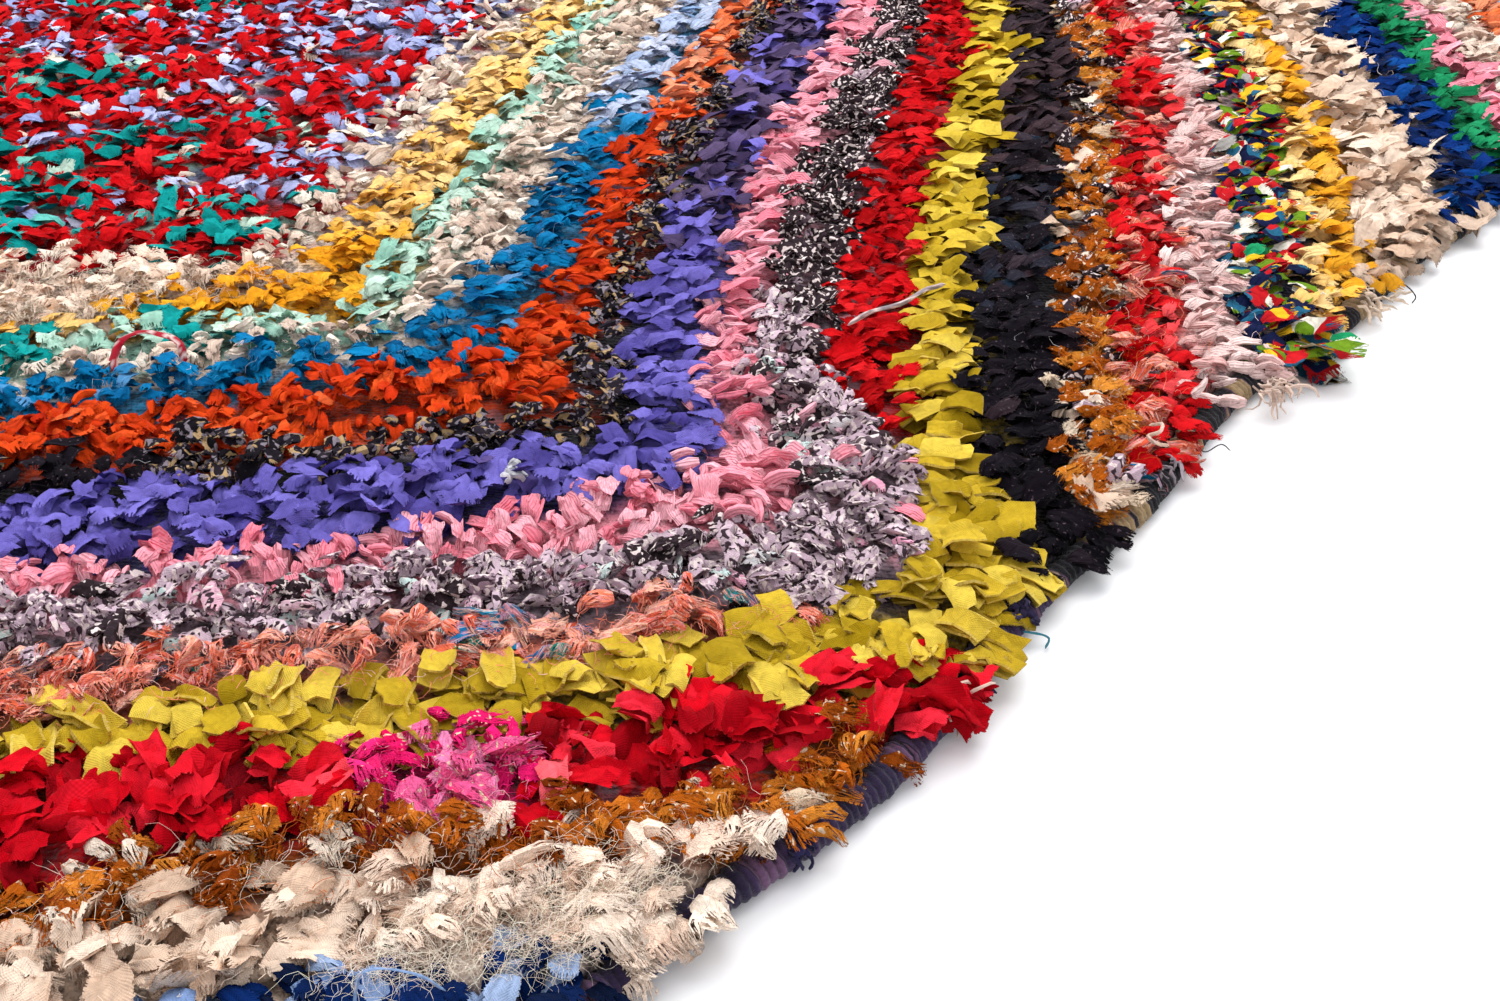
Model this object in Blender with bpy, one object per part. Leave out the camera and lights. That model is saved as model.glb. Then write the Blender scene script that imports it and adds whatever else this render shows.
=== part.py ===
"""Boucherouite rug, lying flat: a cloth of woven ground and knotted rag pile, two overcast selvedges and the
loose rags along its rim.

Metres, +Z up. The origin is the middle of the footprint on the floor, +Y runs along the rug's length (its warp
and its selvedges) and +X runs across it.
"""

from math import cos, floor, pi
import random

import bmesh
import bpy
from mathutils import Vector, noise

# Driving sizes
HALF_WIDTH = 0.800  # middle line to the outer side of a selvedge
HALF_LENGTH = 1.200  # middle line to the end of the cloth
RAG_REACH = 0.016  # furthest that a rim rag hangs out past the cloth
GAP = 0.0003  # parting line between neighbouring solids
SELVEDGE_WIDTH = 0.016
STRIP_WIDTH = 0.006  # the row of knots that carries the rim rags

# Pile heights above the floor
RIM_HEIGHT = 0.016
RIM_LUMPS = 0.2  # share of the pile's lumps that is left at its rim
PILE_HEIGHT = 0.0245
LUMP_HEIGHT = 0.011
LUMP_PITCH = 0.060
FINE_PITCH = 0.026
RIDGE_HEIGHT = 0.0025
BAND_PITCH = 0.090  # two rag bands, measured across the rug
BAND_SLOPE = 0.66  # how far a diamond's side comes in for each metre along the rug

# Every edge is straight between knots, which all the pieces along it share
KNOTS_TO_SIDE = 22
KNOT_PITCH = HALF_WIDTH / KNOTS_TO_SIDE

# Rim rags: one starts at each knot
ROOT_SHARE = 0.45  # its root's width over the pitch
TIP_SHARE = 0.60  # its tip's width over its root's
TIP_OUT = (0.004, 0.024)  # least and most that a tip stands out before the reach stops it
TIP_DRIFT = 0.007
TIP_LIFT = 0.007
TIP_SLANT = 0.001
RAG_SEED = 7

# How each edge wanders: waves with an amplitude, a length and a phase as a share of the length
WAVES = {
    "right": ((0.0075, 0.66, 0.853), (0.0042, 0.23, 0.553)),
    "left": ((0.0050, 0.37, 0.530), (0.0015, 0.131, 0.30)),
    "top": ((0.0035, 0.41, 0.150), (0.0012, 0.140, 0.60)),
    "bottom": ((0.0035, 0.36, 0.700), (0.0012, 0.125, 0.20)),
}
CORNER_STRAIGHT = 0.050  # an edge is straight this close to a corner
CORNER_FADE = 0.090  # and its waves die out over this length before that

# Section of a selvedge: share of its width from its middle, and height above the floor
SELVEDGE_SECTION = (
    (-0.32, 0.0000),
    (0.32, 0.0000),
    (0.50, 0.0038),
    (0.38, 0.0082),
    (0.00, 0.0104),
    (-0.38, 0.0082),
    (-0.50, 0.0038),
)

# Section of the knot row under the rim rags: share of its width from its inner side, and height above the floor
STRIP_SECTION = ((0.0, 0.000), (1.0, 0.000), (1.0, 0.0126), (0.0, 0.0175))

COLOURS = {
    "rug cloth": (0.55, 0.12, 0.13),
    "selvedge yarn": (0.035, 0.03, 0.05),
    "rim rags": (0.62, 0.55, 0.12),
}
CLOTH_ROUGHNESS = 0.92


def clear_scene():
    """Removes every object that the file opened with."""
    for thing in list(bpy.data.objects):
        bpy.data.objects.remove(thing, do_unlink=True)


def cloth_material(name):
    """A matt cloth colour for one kind of piece."""
    material = bpy.data.materials.new(name)
    material.use_nodes = True
    shader = material.node_tree.nodes["Principled BSDF"]
    shader.inputs["Base Color"].default_value = (*COLOURS[name], 1.0)
    shader.inputs["Roughness"].default_value = CLOTH_ROUGHNESS
    shader.inputs["Metallic"].default_value = 0.0
    return material


def wave(side, along, half_run):
    """How far an edge's smooth line lies in from its outermost line; its waves die out before each corner."""
    total = sum(size * cos(2 * pi * (along / length - phase)) for size, length, phase in WAVES[side])
    crest = sum(size for size, length, phase in WAVES[side])
    fade = min(1.0, max(0.0, (half_run - CORNER_STRAIGHT - abs(along)) / CORNER_FADE))
    return (total - crest) * fade * fade * (3.0 - 2.0 * fade)


def wander(side, along, half_run):
    """The same on the edge as built, which runs straight from knot to knot."""
    place = along / KNOT_PITCH
    before = floor(place)
    share = place - before
    here = wave(side, before * KNOT_PITCH, half_run)
    there = wave(side, (before + 1) * KNOT_PITCH, half_run)
    return here + (there - here) * share


def side_place(side, along, inset, height):
    """A point at a distance in from an edge's outer line, at a place along it and a height above the floor."""
    if side in ("left", "right"):
        across = HALF_WIDTH - inset + wander(side, along, HALF_LENGTH)
        return Vector((across if side == "right" else -across, along, height))
    forward = HALF_LENGTH - inset + wander(side, along, HALF_WIDTH)
    return Vector((along, forward if side == "top" else -forward, height))


def knots_within(half_run):
    """The knots along a run, between its two ends."""
    last = floor(half_run / KNOT_PITCH - 0.001)
    return [-half_run] + [index * KNOT_PITCH for index in range(-last, last + 1)] + [half_run]


def finish(builder, name, material, collection):
    """Turns a bmesh into a named object with outward faces."""
    bmesh.ops.recalc_face_normals(builder, faces=builder.faces)
    mesh = bpy.data.meshes.new(name)
    builder.to_mesh(mesh)
    builder.free()
    mesh.materials.append(material)
    thing = bpy.data.objects.new(name, mesh)
    collection.objects.link(thing)


def swept_section(corner_count, station_count, place):
    """A closed tube: a grid whose rows are sections along a run, joined at its seam and filled at both ends.

    place(station, corner) gives the point of a section's corner.
    """
    builder = bmesh.new()
    bmesh.ops.create_grid(builder, x_segments=corner_count, y_segments=station_count - 1, size=0.5)
    for vert in builder.verts:
        corner = round((vert.co.x + 0.5) * corner_count) % corner_count
        station = round((vert.co.y + 0.5) * (station_count - 1))
        vert.co = place(station, corner)
    bmesh.ops.remove_doubles(builder, verts=builder.verts, dist=0.00001)
    bmesh.ops.holes_fill(builder, edges=builder.edges, sides=corner_count)
    return builder


def pile_height(x, y):
    """Height of the pile: broad lumps, finer ones, and low ridges that follow the diamond's sides."""
    lump = noise.noise(Vector((x / LUMP_PITCH, y / LUMP_PITCH, 0.3)))
    fine = noise.noise(Vector((x / FINE_PITCH, y / FINE_PITCH, 5.1)))
    ridge = cos(2 * pi * (abs(x) + BAND_SLOPE * abs(y)) / BAND_PITCH)
    return PILE_HEIGHT + LUMP_HEIGHT * (0.75 * lump + 0.45 * fine) + RIDGE_HEIGHT * ridge


def make_cloth(collection):
    """Ground and pile as one slab: a lumpy top, an outline that wanders and a flat underside."""
    side_inset = SELVEDGE_WIDTH + STRIP_WIDTH + 2 * GAP
    end_inset = STRIP_WIDTH + GAP
    columns = knots_within(HALF_WIDTH - side_inset)
    rows = knots_within(HALF_LENGTH - end_inset)
    builder = bmesh.new()
    bmesh.ops.create_grid(builder, x_segments=len(columns) - 1, y_segments=len(rows) - 1, size=0.5)
    for vert in builder.verts:
        column = round((vert.co.x + 0.5) * (len(columns) - 1))
        row = round((vert.co.y + 0.5) * (len(rows) - 1))
        across, along = columns[column], rows[row]
        share_across = across / columns[-1]
        share_along = along / rows[-1]
        x = across + share_across * wander("right" if across > 0 else "left", along, HALF_LENGTH)
        y = along + share_along * wander("top" if along > 0 else "bottom", across, HALF_WIDTH)
        height = pile_height(x, y)
        if vert.is_boundary:
            height = RIM_HEIGHT + RIM_LUMPS * (height - PILE_HEIGHT)
        vert.co = Vector((x, y, height))
    rim = [edge for edge in builder.edges if edge.is_boundary]
    lowered = bmesh.ops.extrude_edge_only(builder, edges=rim)["geom"]
    for vert in (piece for piece in lowered if isinstance(piece, bmesh.types.BMVert)):
        vert.co.z = 0.0
    hem = [piece for piece in lowered if isinstance(piece, bmesh.types.BMEdge)]
    bmesh.ops.edgeloop_fill(builder, edges=hem)
    finish(builder, "rug_cloth", cloth_material("rug cloth"), collection)


def make_selvedge(side, material, collection):
    """A thick overcast cord along one long edge, resting on a flat strip of its underside."""
    stations = knots_within(HALF_LENGTH)

    def place(station, corner):
        share, height = SELVEDGE_SECTION[corner]
        return side_place(side, stations[station], (0.5 - share) * SELVEDGE_WIDTH, height)

    builder = swept_section(len(SELVEDGE_SECTION), len(stations), place)
    finish(builder, "selvedge_" + side, material, collection)


def rag_stations(half_run):
    """Where each rim rag's root starts and ends along an edge, with the row's two ends."""
    knots = knots_within(half_run)
    stations = [knots[0]]
    for knot in knots[1:-2]:
        stations += [knot, knot + ROOT_SHARE * KNOT_PITCH]
    return stations + knots[-2:]


def make_rim_rags(side, half_run, outer_inset, material, collection):
    """A row of knots along one edge, with a four-sided rag drawn out of its sloping top at each knot."""
    stations = rag_stations(half_run)
    inner_inset = outer_inset + STRIP_WIDTH
    long_side = side in ("left", "right")
    out, run = (0, 1) if long_side else (1, 0)
    sign = 1 if side in ("right", "top") else -1
    limit = (HALF_WIDTH if long_side else HALF_LENGTH) + RAG_REACH

    def place(station, corner):
        share, height = STRIP_SECTION[corner]
        return side_place(side, stations[station], inner_inset - share * STRIP_WIDTH, height)

    def is_root(face):
        middle = face.calc_center_median()
        on_top = middle.z > STRIP_SECTION[2][1] and len(face.verts) == 4
        share = middle[run] / KNOT_PITCH - floor(middle[run] / KNOT_PITCH)
        return on_top and share < ROOT_SHARE and stations[1] < middle[run] < stations[-2]

    builder = swept_section(len(STRIP_SECTION), len(stations), place)
    roots = sorted((face for face in builder.faces if is_root(face)), key=lambda face: face.calc_center_median()[run])
    chance = random.Random(RAG_SEED + out + 2 * sign)
    for tip in bmesh.ops.extrude_discrete_faces(builder, faces=roots)["faces"]:
        middle = tip.calc_center_median()
        reach = min(limit, sign * middle[out] + outer_inset + chance.uniform(*TIP_OUT))
        drift = chance.uniform(-TIP_DRIFT, TIP_DRIFT)
        lift = chance.uniform(0.0, TIP_LIFT)
        for vert in tip.verts:
            upper = vert.co.z > middle.z
            vert.co = middle + (vert.co - middle) * TIP_SHARE
            vert.co[out] = sign * (reach - TIP_SLANT * upper)
            vert.co[run] += drift
            vert.co.z += lift
    finish(builder, "rim_rags_" + side, material, collection)


def build():
    """Makes the seven pieces of the rug."""
    clear_scene()
    collection = bpy.data.collections.new("boucherouite rug")
    bpy.context.scene.collection.children.link(collection)
    make_cloth(collection)
    binding = cloth_material("selvedge yarn")
    rags = cloth_material("rim rags")
    for side in ("left", "right"):
        make_selvedge(side, binding, collection)
        make_rim_rags(side, HALF_LENGTH - STRIP_WIDTH - GAP, SELVEDGE_WIDTH + GAP, rags, collection)
    for side in ("top", "bottom"):
        make_rim_rags(side, HALF_WIDTH - SELVEDGE_WIDTH - GAP, 0.0, rags, collection)


build()
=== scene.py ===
"""Boucherouite rug: a woven ground, its pile of cloth rags in nested diamonds, and two overcast selvedges.

Metres, +Z up. The origin is the middle of the footprint on the floor, +Y runs along the rug and +X across it.
Rags are cut, rolled or crumpled strips, each with its own size, turn and dye.
"""

import bpy
import numpy as np
from bpy.props import FloatProperty, FloatVectorProperty, PointerProperty
from bpy.types import Operator, Panel, PropertyGroup
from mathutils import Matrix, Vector


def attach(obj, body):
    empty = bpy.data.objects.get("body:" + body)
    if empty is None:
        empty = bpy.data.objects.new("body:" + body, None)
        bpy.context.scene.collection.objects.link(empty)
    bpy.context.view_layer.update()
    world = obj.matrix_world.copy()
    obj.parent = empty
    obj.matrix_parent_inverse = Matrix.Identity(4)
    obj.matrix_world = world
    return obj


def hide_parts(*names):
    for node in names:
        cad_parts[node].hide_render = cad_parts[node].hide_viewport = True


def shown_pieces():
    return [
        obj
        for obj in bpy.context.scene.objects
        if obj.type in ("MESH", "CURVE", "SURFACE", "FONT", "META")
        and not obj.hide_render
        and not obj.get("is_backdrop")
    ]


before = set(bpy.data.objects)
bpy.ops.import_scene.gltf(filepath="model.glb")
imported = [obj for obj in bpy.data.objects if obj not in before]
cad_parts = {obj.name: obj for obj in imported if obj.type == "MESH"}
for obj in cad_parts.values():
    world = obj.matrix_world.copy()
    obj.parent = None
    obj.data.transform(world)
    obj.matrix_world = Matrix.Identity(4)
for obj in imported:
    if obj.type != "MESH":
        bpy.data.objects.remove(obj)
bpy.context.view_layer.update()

bl_info = {
    "name": "Boucherouite rug",
    "version": (1, 0, 0),
    "blender": (4, 5, 0),
    "location": "View3D > Sidebar > Rug",
    "description": "Makes a rag-pile rug with nested diamonds, its overcast selvedges and a plain stage",
    "category": "Object",
}

# The edge, as the solids have it
HALF_WIDTH = 0.800
HALF_LENGTH = 1.200
KNOT_PITCH = HALF_WIDTH / 22
SELVEDGE_WIDTH = 0.016
RAG_REACH = 0.016
WAVES = {
    "right": ((0.0075, 0.66, 0.853), (0.0042, 0.23, 0.553)),
    "left": ((0.0050, 0.37, 0.530), (0.0015, 0.131, 0.30)),
    "top": ((0.0035, 0.41, 0.150), (0.0012, 0.140, 0.60)),
    "bottom": ((0.0035, 0.36, 0.700), (0.0012, 0.125, 0.20)),
}
CORNER_STRAIGHT = 0.050
CORNER_FADE = 0.090

# Camera: place, the way it looks across the floor, its tilt, its lens on a 36 mm sensor, and the picture's
# size in pixels
EYE = np.array((1.0246, -0.4655, 0.424))
HEADING = np.array((-0.6361, 0.7716))
TILT = np.radians(34.38)
LENS = 37.2
PICTURE = (1500, 1001)

# Bands from the middle of the rug outwards: where each one's inner side lies, in millimetres in from the
# edge, at the diamond's corner, on the far arm and on the near arm; then the rags on the far and near arm
EDGE_SHIFT = -3.5
BANDS = (
    (9000, 9000, 9000, "field", "field"),
    (530, 508, 560, "cream", "fleece"),
    (507, 472, 475, "yellow", "yellow"),
    (437, 425, 450, "aqua", "aqua"),
    (412, 395, 405, "cream", "cream"),
    (395, 346, 378, "blue", "blue"),
    (345, 300, 340, "orange", "orange"),
    (272, 264, 268, "mottle", "black"),
    (235, 240, 230, "purple", "purple"),
    (175, 191, 155, "pink", "pink"),
    (120, 150, 113, "print", "print"),
    (-60, 105, 60, "red", "coral"),
    (45, 55, 20, "chartreuse", "chartreuse"),
    (-15, 12, -25, "black", "red"),
    (-60, -40, -85, "ochre", "ochre"),
    (-95, -80, -122, "red", "linen"),
    (-140, -124, -175, "blush", "royal"),
    (-175, -160, -215, "multicolour", "green"),
    (-215, -205, -255, "yellow", "pink"),
    (-255, -250, -295, "linen", "orange"),
    (-300, -311, -335, "royal", "cream"),
    (-345, -358, -375, "green", "purple"),
    (-385, -398, -420, "pink", "yellow"),
    (-430, -430, -465, "cream", "blue"),
    (-470, -470, -505, "orange", "blush"),
    (-515, -515, -550, "blue", "coral"),
    (-560, -560, -590, "coral", "black"),
    (-600, -600, -635, "aqua", "aqua"),
    (-645, -645, -680, "purple", "magenta"),
    (-690, -690, -720, "yellow", "ochre"),
    (-735, -735, -765, "red", "red"),
)
MIDDLE = -0.110  # the diamonds' middle line lies left of the rug's own
CORNER_BLEND = 0.12  # a band's widths turn from the corner's to the arm's over this length
# Stretches of the right edge with few or no loose rags: middle and reach along the edge
BARE = (
    (-0.160, 0.024), (-0.118, 0.014), (-0.0785, 0.020), (0.008, 0.013), (0.13, 0.030), (0.200, 0.030),
    (0.385, 0.022),
)
NEAR_CORNER = {11: 20}  # on the near arm these bands turn from another distance

# Dyes: stops of a rag's shade from 0 to 1, each with its red, green and blue. Most run from dark to pale, and
# some end in odd colours
DYES = {
    "red": (
        (0.0, 0.64, 0.0, 0.02), (0.45, 0.80, 0.02, 0.06), (0.8, 0.88, 0.12, 0.14), (1.0, 0.93, 0.32, 0.33),
    ),
    "scarlet": (
        (0.0, 0.50, 0.0, 0.05), (0.5, 0.82, 0.0, 0.09), (0.85, 0.95, 0.17, 0.25), (1.0, 0.98, 0.44, 0.48),
    ),
    "periwinkle": ((0.0, 0.58, 0.62, 0.82), (0.6, 0.70, 0.73, 0.91), (1.0, 0.84, 0.85, 0.95)),
    "fleece": ((0.0, 0.95, 0.82, 0.73), (1.0, 1.0, 0.93, 0.86)),
    "cream": ((0.0, 0.84, 0.73, 0.66), (0.6, 0.93, 0.85, 0.78), (1.0, 0.97, 0.93, 0.87)),
    "yellow": ((0.0, 0.90, 0.57, 0.05), (0.45, 0.95, 0.69, 0.18), (1.0, 0.96, 0.82, 0.56)),
    "aqua": (
        (0.0, 0.0, 0.50, 0.49), (0.25, 0.06, 0.64, 0.63), (0.4, 0.58, 0.78, 0.70), (1.0, 0.78, 0.88, 0.81),
    ),
    "blue": (
        (0.0, 0.0, 0.33, 0.53), (0.45, 0.0, 0.50, 0.72), (0.6, 0.60, 0.68, 0.82), (1.0, 0.80, 0.82, 0.90),
    ),
    "orange": (
        (0.0, 0.72, 0.13, 0.01), (0.55, 0.90, 0.30, 0.08), (0.75, 0.93, 0.46, 0.26), (1.0, 0.97, 0.64, 0.49),
    ),
    "black": (
        (0.0, 0.03, 0.02, 0.045), (0.5, 0.09, 0.065, 0.10), (0.78, 0.26, 0.19, 0.21), (1.0, 0.07, 0.13, 0.19),
    ),
    "mottle": ((0.0, 0.05, 0.04, 0.06), (1.0, 0.16, 0.13, 0.17)),
    "purple": (
        (0.0, 0.24, 0.19, 0.32), (0.3, 0.39, 0.32, 0.46), (0.45, 0.29, 0.25, 0.55), (1.0, 0.48, 0.44, 0.78),
    ),
    "pink": ((0.0, 1.0, 0.55, 0.63), (1.0, 1.0, 0.74, 0.79)),
    "print": (
        (0.0, 0.13, 0.10, 0.11), (0.35, 0.22, 0.17, 0.19), (0.4, 0.62, 0.52, 0.57), (0.9, 0.84, 0.74, 0.79),
        (0.95, 0.90, 0.62, 0.72), (1.0, 0.78, 0.86, 0.84),
    ),
    "coral": (
        (0.0, 0.82, 0.32, 0.22), (0.45, 0.93, 0.50, 0.40), (0.88, 0.97, 0.74, 0.64), (0.90, 0.14, 0.52, 0.40),
        (0.95, 0.10, 0.46, 0.58), (1.0, 0.10, 0.42, 0.62),
    ),
    "chartreuse": ((0.0, 0.60, 0.49, 0.05), (0.5, 0.78, 0.65, 0.16), (1.0, 0.87, 0.76, 0.30)),
    "magenta": ((0.0, 0.84, 0.02, 0.32), (0.5, 0.95, 0.12, 0.46), (1.0, 0.97, 0.55, 0.74)),
    "ochre": (
        (0.0, 0.51, 0.21, 0.02), (0.5, 0.74, 0.37, 0.06), (0.86, 0.86, 0.55, 0.20), (0.90, 0.87, 0.77, 0.66),
        (1.0, 0.90, 0.83, 0.76),
    ),
    "blush": ((0.0, 0.93, 0.72, 0.70), (1.0, 0.99, 0.89, 0.87)),
    "multicolour": (
        (0.0, 0.05, 0.07, 0.20), (0.60, 0.08, 0.12, 0.28), (0.64, 0.93, 0.90, 0.84), (1.0, 0.97, 0.94, 0.88),
    ),
    "linen": ((0.0, 0.82, 0.69, 0.59), (1.0, 0.97, 0.88, 0.80)),
    "royal": (
        (0.0, 0.02, 0.08, 0.20), (0.5, 0.0, 0.18, 0.47), (0.8, 0.05, 0.33, 0.62), (1.0, 0.62, 0.70, 0.84),
    ),
    "green": ((0.0, 0.0, 0.36, 0.20), (1.0, 0.12, 0.59, 0.38)),
}


# Shapes of the pile


def smooth(share):
    """Runs from 0 to 1 with level ends: three times the share's square less twice its cube."""
    share = np.clip(share, 0.0, 1.0)
    return share * share * (3.0 - 2.0 * share)


def swell(x, y, pitch, seed):
    """Irregular waves between about -1 and 1: the mean of seven sines of different headings and lengths."""
    chance = np.random.default_rng(seed)
    turn = chance.uniform(0, 2 * np.pi, 7)
    length = pitch * chance.uniform(0.7, 1.6, 7)
    phase = chance.uniform(0, 2 * np.pi, 7)
    way = x[..., None] * np.cos(turn) + y[..., None] * np.sin(turn)
    return np.sin(2 * np.pi * way / length + phase).mean(axis=-1) * 1.9


def wander(side, along, half_run):
    """How far an edge lies in from its outermost line: waves, straight between knots, faded at the ends."""
    count = int(half_run / KNOT_PITCH) + 2
    knots = np.arange(-count, count + 1) * KNOT_PITCH
    total = sum(size * np.cos(2 * np.pi * (knots / length - phase)) for size, length, phase in WAVES[side])
    crest = sum(size for size, length, phase in WAVES[side])
    fade = smooth((half_run - CORNER_STRAIGHT - np.abs(knots)) / CORNER_FADE)
    return np.interp(along, knots, (total - crest) * fade)


def nearer_edges(x, y):
    """How far the nearer long edge and the nearer short edge wander from their plain lines."""
    long_edge = np.where(x > 0, wander("right", y, HALF_LENGTH), wander("left", y, HALF_LENGTH))
    short_edge = np.where(y > 0, wander("top", x, HALF_WIDTH), wander("bottom", x, HALF_WIDTH))
    return long_edge, short_edge


def side_inset(x, y):
    """Distance in from the nearer long edge's wandering outer line, and from the nearer short edge's."""
    long_edge, short_edge = nearer_edges(x, y)
    return HALF_WIDTH + long_edge - np.abs(x), HALF_LENGTH + short_edge - np.abs(y)


def arm_shift(y):
    """How far a diamond's side has come in towards the middle line at y, away from its corner at y = 0.

    Far arm: 0.72 t less 0.225 t squared, then straight from 0.6 m. Near arm: 0.66 t plus 0.6 t squared, then
    straight from 0.3 m, where t is the distance along the rug.
    """
    t = np.abs(y)
    far = np.where(t < 0.6, 0.72 * t - 0.225 * t * t, 0.351 + 0.70 * (t - 0.6))
    near = np.where(t < 0.3, 0.66 * t + 0.6 * t * t, 0.252 + 0.67 * (t - 0.3))
    return np.where(y > 0, far, near)


def band_place(x, y, stray=0.0):
    """The number of the band at each point: how many bands' inner sides lie further in than it does.

    A side is at its distance for the corner, turned by a smooth step into the arm's, plus the arm's shift. A
    band that would be less than nothing wide is left out. Waves make the sides uneven, and stray moves a rag.
    """
    rows = np.array([band[:3] for band in BANDS]) / 1000.0
    inset = HALF_WIDTH + EDGE_SHIFT / 1000.0 - MIDDLE - np.abs(x - MIDDLE)
    inset = inset + 0.005 * swell(x, y, 0.11, 3) + stray
    corner_near = rows[:, 0].copy()
    for band, distance in NEAR_CORNER.items():
        corner_near[band] = distance / 1000.0
    far = y[:, None] > 0
    corner = np.where(far, rows[:, 0], corner_near)
    arm = np.where(far, rows[:, 1], rows[:, 2])
    turned = smooth(np.abs(y) / CORNER_BLEND)[:, None]
    sides = corner + (arm - corner) * turned + arm_shift(y)[:, None]
    sides = np.maximum.accumulate(sides[:, ::-1], axis=1)[:, ::-1]
    return (inset[:, None] < sides).sum(axis=1) - 1


def rag_family(x, y, chance):
    """The family of the rag at each point, from its band and from patches of another cloth within a band."""
    place = band_place(x, y, chance.normal(0, 0.0035, len(x)))
    far = np.array([band[3] for band in BANDS])[place]
    near = np.array([band[4] for band in BANDS])[place]
    family = np.where(y > 0, far, near).astype("<U12")
    luck = chance.random(len(x))
    edge = HALF_WIDTH - np.abs(x)
    cloud = swell(x, y, 0.09, 11)
    field = family == "field"
    family[field] = "red"
    cool = luck < 0.36 + 0.16 * swell(x, y, 0.16, 5) + 0.30 * swell(x, y, 0.045, 6) + 0.5 * (y - 0.12)
    family[field & cool] = "periwinkle"
    family[field & cool & (y + 0.25 * swell(x, y, 0.2, 8) < 0.10)] = "aqua"
    family[field & (luck > 0.985)] = "cream"
    family[(place == 7) & (y > -0.16 + 0.03 * cloud)] = "mottle"
    family[(place == 7) & (y <= -0.16) & (luck < 0.12)] = "mottle"
    from_patch = np.hypot((edge - 0.130) / 0.050, (y + 0.215) / 0.030)
    family[(place == 13) & (from_patch < 1 + 0.25 * cloud)] = "magenta"
    family[(place == 14) & (y > 0) & (luck < 0.16)] = "print"
    family[(place == 14) & (y > 0) & (luck > 0.94)] = "linen"
    family[(place == 10) & (y > 0) & (luck < 0.05)] = "pink"
    family[(place == 14) & (y < 0) & (luck < 0.06)] = "fleece"
    family[(place == 13) & (y < 0) & (family == "red")] = "scarlet"
    family[(place == 15) & (y < 0) & (edge < 0.090)] = "fleece"
    family[(y < -0.098) & (y > -0.15) & (edge < 0.034)] = "ochre"
    family[(place == 15) & (y > 0) & (luck < 0.22)] = "coral"
    return family, place


def dye_shade(family, x, y, chance):
    """Each rag's shade from 0 to 1 among its family's dyes: chance, and the place on the rug."""
    luck = chance.random(len(x))
    if family == "blue":
        pale = smooth((y - 0.26 + 0.05 * swell(x, y, 0.08, 21)) / 0.06)
        return np.where(luck < pale, 0.62 + 0.38 * luck, 0.05 + 0.42 * luck)
    if family == "aqua":
        patch = swell(x, y, 0.10, 23) - 4.0 * (y + 0.02)
        field = band_place(x, y) == 0
        teal = field & (luck < 0.95) | (patch > np.where(y < 0, 0.55, 1.1)) & (luck < 0.9)
        return np.where(teal, 0.30 * luck, 0.42 + 0.58 * luck)
    if family == "orange":
        return np.clip(0.05 + 0.55 * luck + 0.60 * smooth((y - 0.29) / 0.07), 0, 1)
    if family == "print":
        dark = 0.85 * smooth((y - 0.10) / 0.10) + 0.12
        return np.where(luck < dark, 0.33 * chance.random(len(x)), 0.42 + 0.58 * chance.random(len(x)))
    if family == "ochre":
        return np.where((y > 0) | (luck > 0.93), 0.25 + 0.75 * luck, 0.86 * luck)
    if family == "scarlet":
        return np.clip(0.10 + 0.7 * luck + 0.35 * swell(x, y, 0.045, 31), 0, 1)
    if family == "purple":
        slate = smooth((y - 0.16) / 0.08) * 0.8
        return np.where(luck < slate, 0.35 * chance.random(len(x)), 0.45 + 0.55 * luck)
    if family == "yellow":
        outer = band_place(x, y) == 18
        gold = np.where(outer, 0.80, np.exp(-(((y + 0.02) / 0.14) ** 2)) + 0.35 * swell(x, y, 0.08, 27))
        return np.clip(0.95 - 0.75 * gold + 0.35 * (luck - 0.5), 0, 1)
    if family == "royal":
        return np.where((y < 0) & (luck > 0.45), 0.85 + 0.15 * luck, 0.7 * luck)
    if family == "black":
        navy = np.exp(-(((y - 0.30) / 0.10) ** 2)) * 0.6
        plain = np.clip(0.55 * luck + 0.45 * smooth((y - 0.36) / 0.12), 0, 0.8)
        return np.where(luck < navy, 0.9 + 0.1 * luck, plain)
    if family == "red":
        pale = 0.42 * (band_place(x, y) == 15)
        return np.clip(0.10 + 0.55 * luck + 0.25 * swell(x, y, 0.05, 29) + pale, 0, 1)
    return luck


def nap_heading(x, y):
    """The way a rag lies: out from the diamonds and square to their sides."""
    across = np.sign(x - MIDDLE) * smooth(np.abs(x - MIDDLE) / 0.06)
    along = np.where(y > 0, 0.72, -0.66) * smooth((np.abs(y) + 0.01) / 0.07)
    return np.arctan2(along, across)


# Where the picture shows the rug: margins round it in pixels, and depths that part the levels
MARGIN_LEFT = 70
MARGIN_RIGHT = 60
MARGIN_TOP = 50
MARGIN_BOTTOM = 110
CLOSE_BY = 0.84
FURTHER_OFF = 1.04
PILE_HEIGHT = 0.024


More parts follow.
